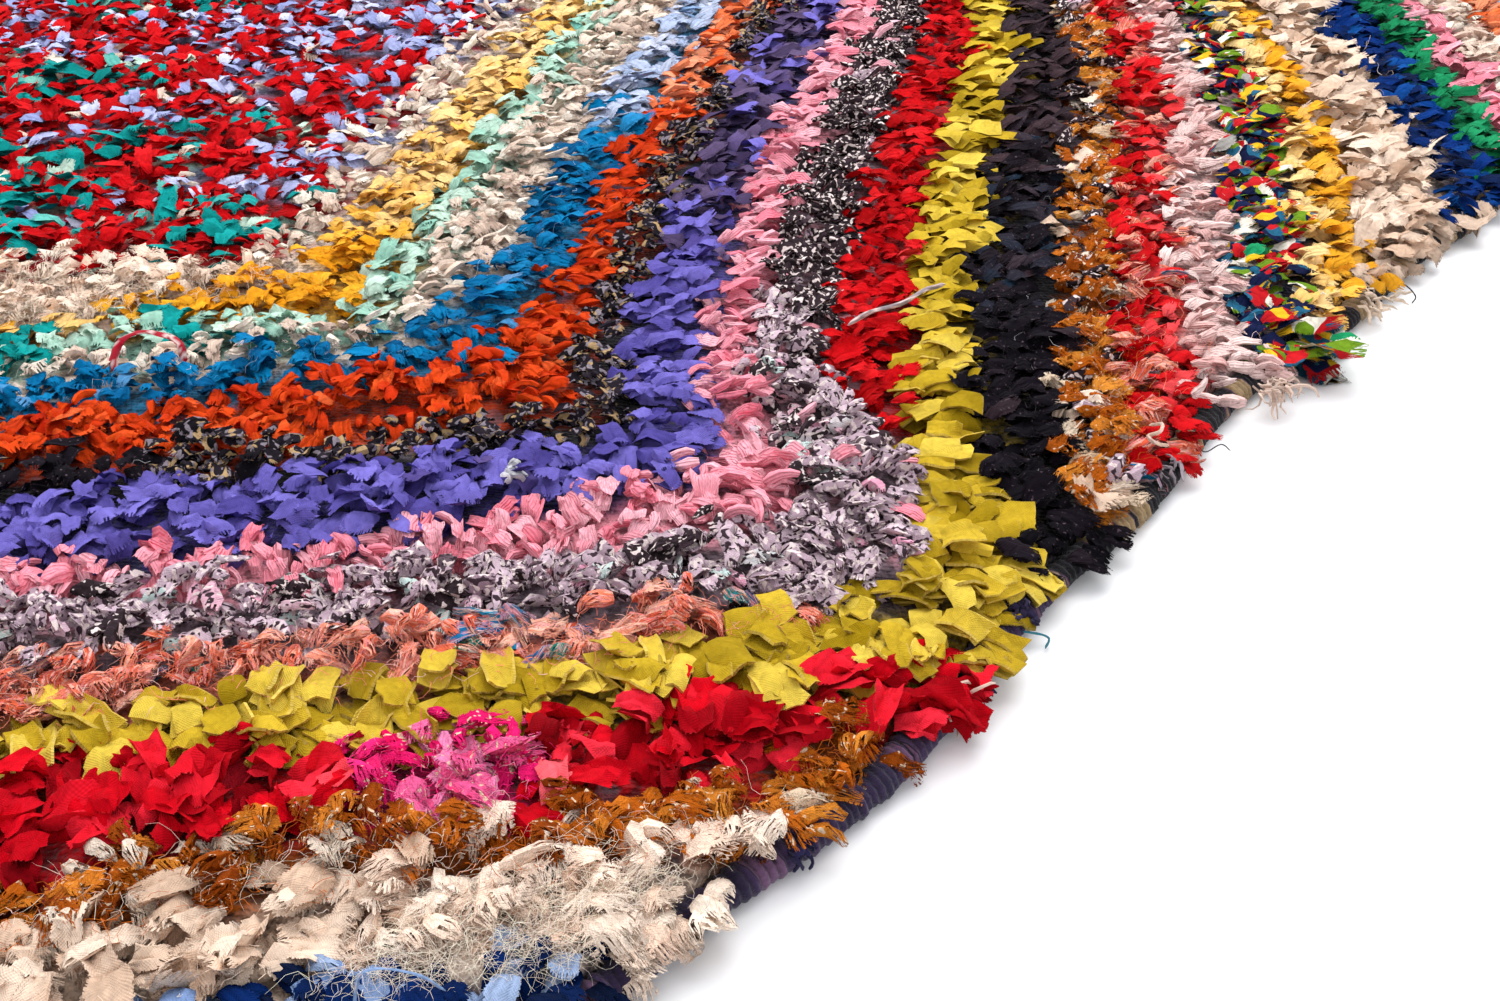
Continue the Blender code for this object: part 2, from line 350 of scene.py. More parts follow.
def seen_level(x, y):
    """3 to 1 where the picture shows the rug, from close by to furthest off, and 0 where it doesn't.

    A point's place in the picture is its offset from the eye along the picture's axes, over its depth.
    """
    forward = np.array((HEADING[0] * np.cos(TILT), HEADING[1] * np.cos(TILT), -np.sin(TILT)))
    right = np.array((HEADING[1], -HEADING[0], 0.0))
    up = np.cross(right, forward)
    offset = np.stack((x, y, np.full_like(x, PILE_HEIGHT)), axis=-1) - EYE
    depth = offset @ forward
    focal = LENS / 36.0 * PICTURE[0]
    safe = np.maximum(depth, 0.05)
    column = PICTURE[0] / 2 + focal * (offset @ right) / safe
    row = PICTURE[1] / 2 - focal * (offset @ up) / safe
    inside = (depth > 0.1) & (column > -MARGIN_LEFT) & (column < PICTURE[0] + MARGIN_RIGHT)
    inside &= (row > -MARGIN_TOP) & (row < PICTURE[1] + MARGIN_BOTTOM)
    return np.where(inside, 1 + (depth < FURTHER_OFF) + (depth < CLOSE_BY), 0)


# Roots: how far those of the cloth stay in from the long and the short edges, and the reach of the outermost
INNER_FROM_LONG = 0.0135
INNER_FROM_SHORT = 0.008
OUTER_FROM_LONG = (0.0045, 0.0125)
OUTER_FROM_SHORT = (0.002, 0.009)
JITTER = 0.42


def scatter(pitch, chance):
    """Roots over the whole cloth: a staggered grid, each one moved by up to a share of the pitch."""
    columns = np.arange(-HALF_WIDTH, HALF_WIDTH, pitch)
    rows = np.arange(-HALF_LENGTH, HALF_LENGTH, pitch * 0.87)
    x, y = np.meshgrid(columns, rows)
    x = x + 0.5 * pitch * (np.arange(len(rows)) % 2)[:, None]
    x = (x + chance.uniform(-JITTER, JITTER, x.shape) * pitch).ravel()
    y = (y + chance.uniform(-JITTER, JITTER, y.shape) * pitch).ravel()
    long_edge, short_edge = side_inset(x, y)
    inside = (long_edge > INNER_FROM_LONG) & (short_edge > INNER_FROM_SHORT)
    return x[inside], y[inside]


def rim_roots(pitch, chance):
    """Roots of the outermost knots on all four edges, and the way out over the edge at each."""
    y = np.arange(-HALF_LENGTH + 0.01, HALF_LENGTH - 0.01, pitch)
    y = y + pitch * chance.uniform(-0.4, 0.4, len(y))
    inset = chance.uniform(*OUTER_FROM_LONG, (2, len(y)))
    right = HALF_WIDTH + wander("right", y, HALF_LENGTH) - inset[0]
    left = -HALF_WIDTH - wander("left", y, HALF_LENGTH) + inset[1]
    bare = sum(np.exp(-(((y - place) / width) ** 2)) for place, width in BARE)
    bare = bare + 0.55 * smooth((y - 0.36) / 0.05) * (swell(y, np.zeros_like(y), 0.08, 73) > 0.0)
    kept = chance.random(len(y)) > 1.1 * bare
    half = chance.random(len(y)) < 0.6 + 0.3 * swell(y, np.ones_like(y), 0.10, 75)
    x = np.arange(-HALF_WIDTH + 0.01, HALF_WIDTH - 0.01, pitch)
    x = x + pitch * chance.uniform(-0.4, 0.4, len(x))
    inset = chance.uniform(*OUTER_FROM_SHORT, (2, len(x)))
    top = HALF_LENGTH + wander("top", x, HALF_WIDTH) - inset[0]
    bottom = -HALF_LENGTH - wander("bottom", x, HALF_WIDTH) + inset[1]
    east = np.concatenate((right[kept], left[half], x, x))
    north = np.concatenate((y[kept], y[half], top, bottom))
    out = np.concatenate((np.zeros(kept.sum()), np.full(half.sum(), np.pi)))
    out = np.concatenate((out, np.full(len(x), 0.5 * np.pi), np.full(len(x), -0.5 * np.pi)))
    return east, north, out


ROOT_BED = 0.0098
ROOT_LIFT = 0.0036  # how much higher the bed is away from the rim


def root_height(x, y):
    """Height at which a rag leaves the ground: broad and finer lumps on a bed that thins towards the rim."""
    lumps = 0.0036 * swell(x, y, 0.075, 41) + 0.0020 * swell(x, y, 0.033, 43)
    long_edge, short_edge = side_inset(x, y)
    rim = smooth((np.minimum(long_edge, short_edge) - 0.008) / 0.035)
    return ROOT_BED + (ROOT_LIFT + lumps) * rim


# Rags as grids of points


def write(data, key, values):
    """Writes an array of numbers into one property of all of a mesh's points, corners or faces."""
    data.foreach_set(key, np.asarray(values).astype(np.float32).ravel())


def bare_mesh(name, points, corners, starts):
    """A mesh from its points, the point at each corner of a face, and the corner where each face starts."""
    mesh = bpy.data.meshes.new(name)
    mesh.vertices.add(len(points))
    write(mesh.vertices, "co", points)
    mesh.loops.add(len(corners))
    mesh.loops.foreach_set("vertex_index", corners.astype(np.int32))
    mesh.polygons.add(len(starts))
    mesh.polygons.foreach_set("loop_start", starts.astype(np.int32))
    mesh.polygons.foreach_set("use_smooth", np.ones(len(starts), dtype=bool))
    mesh.update(calc_edges=True)
    return mesh


def add_values(mesh, name, values):
    """Gives each point of a mesh a number."""
    write(mesh.attributes.new(name, "FLOAT", "POINT").data, "value", values)


def add_shade(mesh, colours):
    """Gives each point of a mesh a colour."""
    solid = np.concatenate((colours, np.ones((len(colours), 1))), axis=1)
    write(mesh.attributes.new("shade", "FLOAT_COLOR", "POINT").data, "color", solid)


def add_map(mesh, name, places):
    """Gives each corner of a mesh a place on a flat map."""
    write(mesh.uv_layers.new(name=name).data, "uv", places)


# What a point carries as its depth is 0 at one height and 1 at that height plus the range; the rags' painted
# shade deep in the pile follows it
DEEP = 0.007
DEPTH_RANGE = 0.019
# Where a rag's patch lies in its square cell of the baking map
CELL_MARGIN = 0.06
CELL_SHARE = 0.88


def grid_cells(rows, columns):
    """The row and the column of each cell of a grid."""
    return np.meshgrid(np.arange(rows), np.arange(columns), indexing="ij")


def angles(sides):
    """The angle round a tube of each of its sides."""
    return 2 * np.pi * np.arange(sides) / sides


class Heap:
    """Closed shells for one mesh: points, faces, what each point carries and where each corner lies."""

    def __init__(self):
        self.points = []
        self.values = {"dye": [], "depth": []}
        self.faces = []
        self.maps = {"rag": [], "cut": []}
        self.islands = []
        self.point_count = 0
        self.island_count = 0

    def add(self, points, dye, faces, codes, rag, cut, spread):
        """Takes n shells of one kind.

        points is (n, m, 3). faces and codes are lists of (f, k) arrays of a shell's own points and of its
        rows in rag, cut and spread, which are (n or 1, c, 2): metres on the cloth, shares of the rag, and
        the place in a unit square.
        """
        n, m = points.shape[:2]
        self.points.append(points.reshape(-1, 3))
        self.values["dye"].append(np.repeat(dye, m))
        self.values["depth"].append(np.clip((points[..., 2].ravel() - DEEP) / DEPTH_RANGE, 0, 1))
        start = self.point_count + m * np.arange(n)[:, None, None]
        number = self.island_count + np.arange(n)
        for face, code in zip(faces, codes):
            self.faces.append((start + face).reshape(-1, face.shape[1]))
            picked = code.ravel()
            self.maps["rag"].append(np.broadcast_to(rag, (n,) + rag.shape[1:])[:, picked].reshape(-1, 2))
            self.maps["cut"].append(np.broadcast_to(cut, (n,) + cut.shape[1:])[:, picked].reshape(-1, 2))
            square = np.broadcast_to(spread, (n,) + spread.shape[1:])[:, picked]
            self.islands.append((square, number))
        self.point_count += n * m
        self.island_count += n

    def mesh(self, name):
        """Writes the shells into one mesh, with every rag's patch in a cell of its own in the baking map."""
        corners = np.concatenate([face.ravel() for face in self.faces])
        sizes = np.concatenate([np.full(len(face), face.shape[1]) for face in self.faces])
        mesh = bare_mesh(name, np.concatenate(self.points), corners, np.cumsum(sizes) - sizes)
        for key, parts in self.values.items():
            add_values(mesh, key, np.concatenate(parts))
        for key, parts in self.maps.items():
            add_map(mesh, key, np.concatenate(parts))
        side = int(np.ceil(np.sqrt(self.island_count)))
        laid = []
        for square, number in self.islands:
            cell = np.stack((number % side, number // side), axis=-1)[:, None, :]
            laid.append(((cell + CELL_MARGIN + CELL_SHARE * square) / side).reshape(-1, 2))
        add_map(mesh, "OFBake", np.concatenate(laid))
        mesh.uv_layers["rag"].active_render = True
        mesh.uv_layers["rag"].active = True
        mesh.set_sharp_from_angle(angle=np.radians(52))
        mesh.validate()
        return mesh


def between(chance, low_high, count):
    """A column of even chances between two bounds, for arrays of rags by rows by columns."""
    return chance.uniform(low_high[0], low_high[1], count)[:, None, None]


# Limits that hold the rags: how far past the reach, how high and how low, and the share that is drawn back
SLACK = 0.006
CEILING = 0.032
LOWEST = 0.0008
DRAWN_BACK = 0.9
PRESSED_DOWN = 0.7


def keep_in(points):
    """Holds a rag by the rug's reach and above the floor: most of what would pass a limit is drawn back."""
    for axis, half in enumerate((HALF_WIDTH, HALF_LENGTH)):
        over = np.maximum(np.abs(points[..., axis]) - (half + RAG_REACH + SLACK), 0.0)
        points[..., axis] -= np.sign(points[..., axis]) * over * DRAWN_BACK
    high = np.maximum(points[..., 2] - CEILING, 0.0)
    points[..., 2] -= high * PRESSED_DOWN
    points[..., 2] = np.maximum(points[..., 2], LOWEST)
    return points


def petal_skin(rows, columns, thick):
    """Faces of one petal and the code of each corner, for an upper and a lower skin on a grid.

    A thick petal has a rim of its own between two full grids. A thin one shares the points of its outline
    between the skins, and only the points inside stand apart.
    """
    per = columns + 1
    count = (rows + 1) * per
    grid = np.arange(count).reshape(rows + 1, per)
    i, j = grid_cells(rows, columns)
    corner = (i * per + j).ravel()
    top = np.stack((corner, corner + per, corner + per + 1, corner + 1), axis=-1)
    codes = np.concatenate((top, top[:, ::-1] + count))
    if thick:
        ring = np.concatenate((grid[:-1, 0], grid[-1, :-1], grid[:0:-1, -1], grid[0, :0:-1]))
        after = np.roll(ring, -1)
        rim = np.stack((ring, ring + count, after + count, after), axis=-1)
        return [codes, rim], [codes, np.stack((ring, ring, after, after), axis=-1)], np.arange(count)
    inner = grid[1:-1, 1:-1].ravel()
    lower = np.arange(count)
    lower[inner] = count + np.arange(len(inner))
    return [np.concatenate((top, lower[top[:, ::-1]]))], [codes], inner


def lay_petals(heap, x, y, z, heading, climb, dye, scale, cut, cells, chance):
    """Cut strips of cloth, held at the root and lying over: closed sheets on a grid of s along and v across.

    The climb turns from its start to its fall as s to the power 0.8, plus one wave, and is summed along the
    length. The half width grows from the pinched root and narrows at the tip. Out of that line stand the
    cross curl (an arc over v), pleats (a cosine of v that fades along s), one straight crease, a ripple and
    crumples at random. The sheet also twists, and its end is cut at a slant and rounded. Both skins lie half
    a thickness off it.
    """
    n = len(x)
    rows, columns, thick_rim = cells
    s = np.linspace(0, 1, rows + 1)[None, :, None]
    v = np.linspace(-1, 1, columns + 1)[None, None, :]
    scale = scale[:, None, None]
    length = between(chance, cut["length"], n) * scale
    half = 0.5 * between(chance, cut["width"], n) * scale
    climb = np.radians(climb)[:, None, None]
    fall = np.radians(between(chance, cut["fall"], n))
    angle = climb + (fall - climb) * s**0.8 + 0.25 * np.sin(2 * np.pi * (s + chance.random((n, 1, 1))))
    middle = 0.5 * (angle[:, 1:] + angle[:, :-1])
    step = length / rows
    zero = np.zeros((n, 1, 1))
    along = np.concatenate((zero, np.cumsum(np.cos(middle), axis=1) * step), axis=1)
    height = np.concatenate((zero, np.cumsum(np.sin(middle), axis=1) * step), axis=1)
    tip = between(chance, cut["tip"], n)
    pinch = between(chance, cut["pinch"], n)
    narrowed = 1 - tip * np.clip((s - 0.45) / 0.55, 0, 1) ** 1.6
    width = half * (pinch + (1 - pinch) * smooth(s / 0.45)) * narrowed
    curl = between(chance, cut["curl"], n) * chance.choice((-1.0, 1.0), n)[:, None, None]
    curl = np.where(np.abs(curl) < 0.05, 0.05, curl) * (0.6 + 0.4 * s)
    side = width * np.sin(curl * v) / curl
    bulge = width * (1 - np.cos(curl * v)) / curl
    crease_turn = chance.uniform(0, np.pi, (n, 1, 1))
    crease_place = chance.uniform(-0.4, 0.4, (n, 1, 1))
    fold = np.abs((2 * s - 1) * np.cos(crease_turn) + v * np.sin(crease_turn) - crease_place)
    fold = between(chance, (-cut["crease"], cut["crease"]), n) * half * fold
    count = between(chance, (0.5, 1.6), n)
    ripple = count * s + 0.6 * between(chance, (-1, 1), n) * v + chance.random((n, 1, 1))
    ripple = np.sin(2 * np.pi * ripple)
    ripple = cut["ripple"] * half * ripple * smooth(s / 0.4)
    crumple = cut["crumple"] * chance.normal(0, 1, (n, rows + 1, columns + 1)) * smooth(s / 0.3)
    pleats = np.cos(np.pi * between(chance, (1.0, 2.2), n) * (v + chance.uniform(-1, 1, (n, 1, 1))))
    pleats = cut["pleat"] * half * pleats * (1.05 - s) * smooth(s / 0.15)
    out = bulge + fold * s + ripple + crumple + pleats
    twist = between(chance, (-0.5, 0.5), n) * s
    ragged = 0.07 * half * chance.normal(0, 1, (2, n, rows + 1, columns + 1)) * smooth(s / 0.5)
    side = side + ragged[0]
    across = side * np.cos(twist) - out * np.sin(twist)
    lift = side * np.sin(twist) + out * np.cos(twist)
    face_side = -np.sin(curl * v + twist)
    face_up = np.cos(curl * v + twist)
    forward = along + between(chance, (-0.32, 0.32), n) * v * width * s + ragged[1]
    forward = forward - cut["round"] * width * v**2 * smooth((s - 0.35) / 0.65)
    half_thick = 0.5 * between(chance, cut["thick"], n) * (1.0 if thick_rim else 1.5)
    z = z[:, None, None]
    cosine = np.cos(heading)[:, None, None]
    sine = np.sin(heading)[:, None, None]
    skins = []
    inside = np.ones((rows + 1, columns + 1))
    if not thick_rim:
        inside[[0, -1], :] = 0.0
        inside[:, [0, -1]] = 0.0
    for sign in (1.0, -1.0):
        shift = sign * half_thick * inside
        ahead = forward - np.sin(angle) * (lift + shift * face_up)
        aside = across + shift * face_side
        tall = z + height + np.cos(angle) * (lift + shift * face_up)
        east = x[:, None, None] + ahead * cosine - aside * sine
        north = y[:, None, None] + ahead * sine + aside * cosine
        skins.append(np.stack(np.broadcast_arrays(east, north, tall), axis=-1).reshape(n, -1, 3))
    faces, codes, kept = petal_skin(rows, columns, thick_rim)
    points = keep_in(np.concatenate((skins[0], skins[1][:, kept]), axis=1))
    total = (rows + 1) * (columns + 1)
    share = np.stack(np.broadcast_arrays(s, v * 0.5 + 0.5), axis=-1).reshape(1, total, 2)
    metres = np.stack(np.broadcast_arrays(s * length, v * half), axis=-1).reshape(n, total, 2)
    metres = metres + chance.uniform(0, 3, (n, 1, 2))
    spread = np.concatenate((share * (0.70, 1.0), share * (0.24, 1.0) + (0.76, 0.0)), axis=1)
    both = np.concatenate((metres, metres), axis=1)
    heap.add(points, dye, faces, codes, both, np.concatenate((share, share), axis=1), spread)


def lay_rolls(heap, start, heading, dye, scale, size, cells, chance):
    """Rolled strips, knots of yarn and threads: tubes of s along and an angle around, closed at both ends.

    The centre line sums a direction whose climb turns from start to fall and whose heading swings by a sine.
    The radius is the middle one times a pleat, a cosine of the angle, and times an end that rounds off; it
    tapers to the given share.
    """
    n = len(heading)
    rows, sides = cells
    s = np.linspace(0, 1, rows + 1)[None, :]
    length = (chance.uniform(*size["length"], n) * scale)[:, None]
    climb = np.radians(chance.uniform(*size["rise"], n))[:, None]
    fall = np.radians(chance.uniform(*size["fall"], n))[:, None]
    swing = size["swing"] * chance.uniform(-1, 1, (n, 1))
    waves = chance.uniform(0.3, 0.3 + size["waves"], (n, 1))
    phase = 2 * np.pi * chance.random((n, 1))
    tilt = climb + (fall - climb) * s + 0.5 * size["swing"] * np.cos(2 * np.pi * waves * s * 1.3 + phase)
    turn = heading[:, None] + swing * (s - 0.3) + 0.7 * size["swing"] * np.sin(2 * np.pi * waves * s + phase)
    way = np.stack((np.cos(tilt) * np.cos(turn), np.cos(tilt) * np.sin(turn), np.sin(tilt)), axis=-1)
    middle = 0.5 * (way[:, 1:] + way[:, :-1]) * (length / rows)[..., None]
    path = start[:, None, :] + np.concatenate((np.zeros((n, 1, 3)), np.cumsum(middle, axis=1)), axis=1)
    aside = np.stack((-np.sin(turn), np.cos(turn), np.zeros_like(turn)), axis=-1)
    above = np.cross(way, aside)
    around = angles(sides)
    radius = (chance.uniform(*size["radius"], n) * scale)[:, None, None]
    end = 1 - size["round"] * np.maximum(np.abs(2 * s - 1) - 0.55, 0) / 0.45
    taper = 1 - (1 - size["taper"]) * s
    pleat = 1 + size["pleat"] * np.cos(2 * around[None, None, :] + 2 * np.pi * chance.random((n, 1, 1)))
    rough = 1 + size["crumple"] * chance.normal(0, 1, (n, rows + 1, sides))
    radius = radius * (end * taper)[..., None] * pleat * rough
    add_tubes(heap, path, aside, above, radius, dye, chance)


def add_tubes(heap, path, aside, above, radius, dye, chance):
    """Closed tubes on centre lines: radius, (n, rows, sides), is laid off along two directions across."""
    n, stations, sides = radius.shape
    rows = stations - 1
    s = np.linspace(0, 1, stations)[None, :]
    around = angles(sides)
    length = np.linalg.norm(np.diff(path, axis=1), axis=-1).sum(axis=1)[:, None]
    points = path[:, :, None, :] + radius[..., None] * (
        np.cos(around)[None, None, :, None] * aside[:, :, None, :]
        + np.sin(around)[None, None, :, None] * above[:, :, None, :]
    )
    points = keep_in(points.reshape(n, -1, 3))
    i, j = grid_cells(rows, sides)
    here = (i * sides + j).ravel()
    beside = (i * sides + (j + 1) % sides).ravel()
    wall = np.stack((here, beside, beside + sides, here + sides), axis=-1)
    per = sides + 1
    code = (i * per + j).ravel()
    wall_codes = np.stack((code, code + 1, code + 1 + per, code + per), axis=-1)
    first = np.arange(sides)[::-1][None, :]
    last = (rows * sides + np.arange(sides))[None, :]
    share = np.stack(np.broadcast_arrays(s[..., None], np.linspace(0, 1, per)[None, None, :]), axis=-1)
    girth = 2 * np.pi * radius.mean()
    metres = share * np.stack((length, np.full((n, 1), girth)), axis=-1)[:, :, None, :]
    metres = metres.reshape(n, -1, 2) + chance.uniform(0, 3, (n, 1, 2))
    share = share.reshape(1, -1, 2)
    heap.add(
        points,
        dye,
        [wall, first, last],
        [wall_codes, first, rows * per + np.arange(sides)[None, :]],
        metres,
        share * (0.9, 0.4) + (0.0, 0.3),
        share,
    )


# How each family's rags are cut: lengths in metres, angles in degrees, and curls in radians
def cut_of(**changes):
    """A strip's sizes: the plain ones, with a family's own in their place."""
    plain = dict(
        length=(0.015, 0.024), width=(0.010, 0.016), rise=(2, 46), fall=(-50, 14), curl=(0.1, 0.9),
        crease=0.6, ripple=0.14, pleat=0.24, crumple=0.0004, thick=(0.0007, 0.0011), tip=(0.0, 0.30),
        round=0.13, pinch=(0.35, 0.80), lift=0.008, pitch=0.0098, spread=42, rolled=0.0,
        roll=(0.0019, 0.0030), fray=0.0, fine=(4, 4, False),
    )
    plain.update(changes)
    return plain


SMALL = dict(length=(0.010, 0.017), width=(0.007, 0.012), pitch=0.0075, fine=(3, 3, False), lift=0.010)
PUFFY = dict(SMALL, length=(0.012, 0.020), width=(0.010, 0.017), pitch=0.0070)
MIDDLING = dict(length=(0.011, 0.018), width=(0.007, 0.013), pitch=0.0080, fine=(4, 3, False))
CUTS = {
    "red": cut_of(**MIDDLING, spread=60, curl=(0.2, 1.3)),
    "scarlet": cut_of(
        length=(0.014, 0.022), width=(0.010, 0.018), pitch=0.0084, spread=75, crease=1.0, ripple=0.22,
        rise=(0, 44), fall=(-60, 10), curl=(0.4, 1.9), thick=(0.0007, 0.0010), pleat=0.26, tip=(0.0, 0.18),
        round=0.08, pinch=(0.6, 1.0), fine=(5, 5, False),
    ),
    "periwinkle": cut_of(**MIDDLING, spread=80),
    "fleece": cut_of(
        **PUFFY, spread=90, crumple=0.0013, round=0.45, rolled=0.4, roll=(0.0024, 0.0038), fray=34.0,
    ),
    "cream": cut_of(**SMALL, spread=70, crumple=0.0008, rolled=0.45, roll=(0.0016, 0.0027), fray=0.4),
    "yellow": cut_of(**MIDDLING, spread=60),
    "aqua": cut_of(**MIDDLING, spread=70),
    "blue": cut_of(
        length=(0.012, 0.021), width=(0.007, 0.013), pitch=0.0082, spread=55, tip=(0.1, 0.7), fray=0.25,
        fine=(4, 3, False),
    ),
    "orange": cut_of(
        length=(0.012, 0.020), width=(0.007, 0.011), pitch=0.0078, spread=55, curl=(0.5, 1.7), rolled=0.2,
        fine=(4, 3, False),
    ),
    "black": cut_of(
        length=(0.013, 0.022), width=(0.009, 0.014), pitch=0.0086, spread=55, tip=(0.1, 0.7), fray=0.35,
        fine=(4, 3, False),
    ),
    "mottle": cut_of(**SMALL, spread=80, crumple=0.0008, rolled=0.25),
    "purple": cut_of(
        length=(0.012, 0.020), width=(0.008, 0.013), pitch=0.0081, spread=58, crease=0.9, round=0.1,
        pinch=(0.6, 0.95), tip=(0.0, 0.3),
    ),
    "pink": cut_of(
        length=(0.012, 0.020), width=(0.009, 0.015), pitch=0.0078, spread=46, curl=(0.7, 2.0), rolled=0.30,
        roll=(0.0019, 0.0029), fall=(-70, 0), crease=0.9, pleat=0.30, fine=(4, 4, False),
    ),
    "print": cut_of(**SMALL, spread=75, crumple=0.0008, curl=(0.3, 1.6), rolled=0.35, roll=(0.0018, 0.0030)),
    "coral": cut_of(**SMALL, spread=75, crumple=0.0009, curl=(0.3, 1.4), rolled=0.35, fray=4.0),
    "chartreuse": cut_of(
        length=(0.015, 0.023), width=(0.010, 0.015), pitch=0.0082, spread=46, curl=(0.2, 1.3), crease=0.7,
        thick=(0.0009, 0.0014), tip=(0.0, 0.2), rise=(0, 28), fall=(-36, 2), pleat=0.10, round=0.06,
        pinch=(0.7, 1.0), fine=(4, 4, True),
    ),
    "magenta": cut_of(**SMALL, spread=80, crumple=0.0009, curl=(0.3, 1.4), rolled=0.35, fray=4.0),
    "ochre": cut_of(**SMALL, spread=75, crumple=0.0008, curl=(0.3, 1.3), rolled=0.3, fray=4.5),
    "blush": cut_of(
        length=(0.011, 0.019), width=(0.006, 0.011), pitch=0.0080, spread=50, curl=(0.6, 1.6), rolled=0.5,
        roll=(0.0016, 0.0026), fray=0.3, fine=(4, 3, False),
    ),
    "multicolour": cut_of(
        length=(0.013, 0.021), width=(0.009, 0.015), pitch=0.0088, spread=60, tip=(0.0, 0.6),
    ),
    "linen": cut_of(
        length=(0.013, 0.022), width=(0.010, 0.017), pitch=0.0086, spread=65, crumple=0.0006, curl=(0.4, 1.7),
        crease=0.9, pleat=0.30, fray=0.8,
    ),
    "royal": cut_of(**MIDDLING, spread=65),
    "green": cut_of(**MIDDLING, spread=65),
}
LONGER_NAMES = {
    "scarlet": "scarlet_folded", "mottle": "mottled", "pink": "pink_jersey", "print": "printed",
    "royal": "royal_blue",
}
PIECE_NAMES = {family: LONGER_NAMES.get(family, family) + "_rags" for family in CUTS}
# Single large rags: place of the root, the way it lies and its climb in degrees, its dye and its scale
SINGLES = {
    "scarlet": ((0.724, -0.112, 0.020, -50, 30, 0.55, 1.7), (0.742, -0.118, 0.019, -20, 24, 0.75, 1.6),
                (0.700, -0.118, 0.019, -70, 28, 0.40, 1.5), (0.752, -0.098, 0.018, -10, 20, 0.60, 1.5)),
    "green": ((0.716, 0.372, 0.024, 40, 40, 1.0, 1.3), (0.792, 0.318, 0.018, 10, 12, 1.0, 1.4)),
    "aqua": ((0.262, -0.082, 0.020, 20, 22, 0.12, 1.9), (0.284, -0.066, 0.020, -60, 26, 0.18, 1.7),
             (0.296, -0.084, 0.020, -20, 18, 0.22, 1.5)),
    "blue": ((0.352, -0.062, 0.018, -70, 60, 0.35, 1.5), (0.446, 0.014, 0.018, -10, 30, 0.40, 1.8)),
}
LAYERS = 2  # rags in one tuft, one over the other
LIE = 0.0125  # how far from its root the middle of a rag lies
FAR_LIE = 0.0055  # and how much further on the far arm, where the rags lie flatter
# How far the rags of one tuft are shifted against each other
LAYER_BACK = 0.0030
LAYER_ASIDE = 0.0022
LAYER_RISE = 0.0019
LAYER_CLIMB = 9.0  # degrees
ROLL = dict(fall=(-25, 10), swing=0.7, waves=0.5, round=0.35, taper=0.85, pleat=0.22)
# By level: grids of strips and of rolled strips, spacing of the roots and size of the rags
COARSE_GRIDS = {2: (4, 2, False), 1: (3, 2, False), 0: (2, 2, False)}
ROLL_GRIDS = {3: (4, 6), 2: (3, 5), 1: (2, 5), 0: (2, 4)}
PITCH_BY_LEVEL = {3: 0.97, 2: 1.0, 1: 1.16, 0: 2.2}
SIZE_BY_LEVEL = {3: 1.0, 2: 1.0, 1: 1.14, 0: 1.75}


def rag_scale(family, x, y, chance):
    """How much bigger or smaller a rag is than its family's: by chance, by its cloth, and by its place."""
    place = band_place(x, y)
    long_edge, short_edge = side_inset(x, y)
    rim = 1 - smooth((np.minimum(long_edge, short_edge) - 0.012) / 0.020)
    rim = rim * np.where(seen_level(x, y) > 0, 1.0, 0.3)
    scale = 1.0 + rim * np.where(swell(x, y, 0.055, 71) > 0.25, 0.25, 0.0)
    if family == "multicolour":
        scale = scale * (1 + 0.45 * rim)
    if family == "aqua":
        scale = scale * np.where((place <= 0) & (y < 0.12), 1.35, 1.0)
    if family == "pink":
        scale = scale * np.where(y < -0.03, 0.88, 1.0)
    if family in ("print", "coral", "ochre", "magenta"):
        scale = scale * 1.18
    if family in ("black", "chartreuse"):
        scale = scale * (1 - 0.24 * rim)
    if family == "scarlet":
        scale = scale * chance.choice((0.75, 0.95, 1.2), len(x))
    return scale * chance.uniform(0.82, 1.18, len(x))


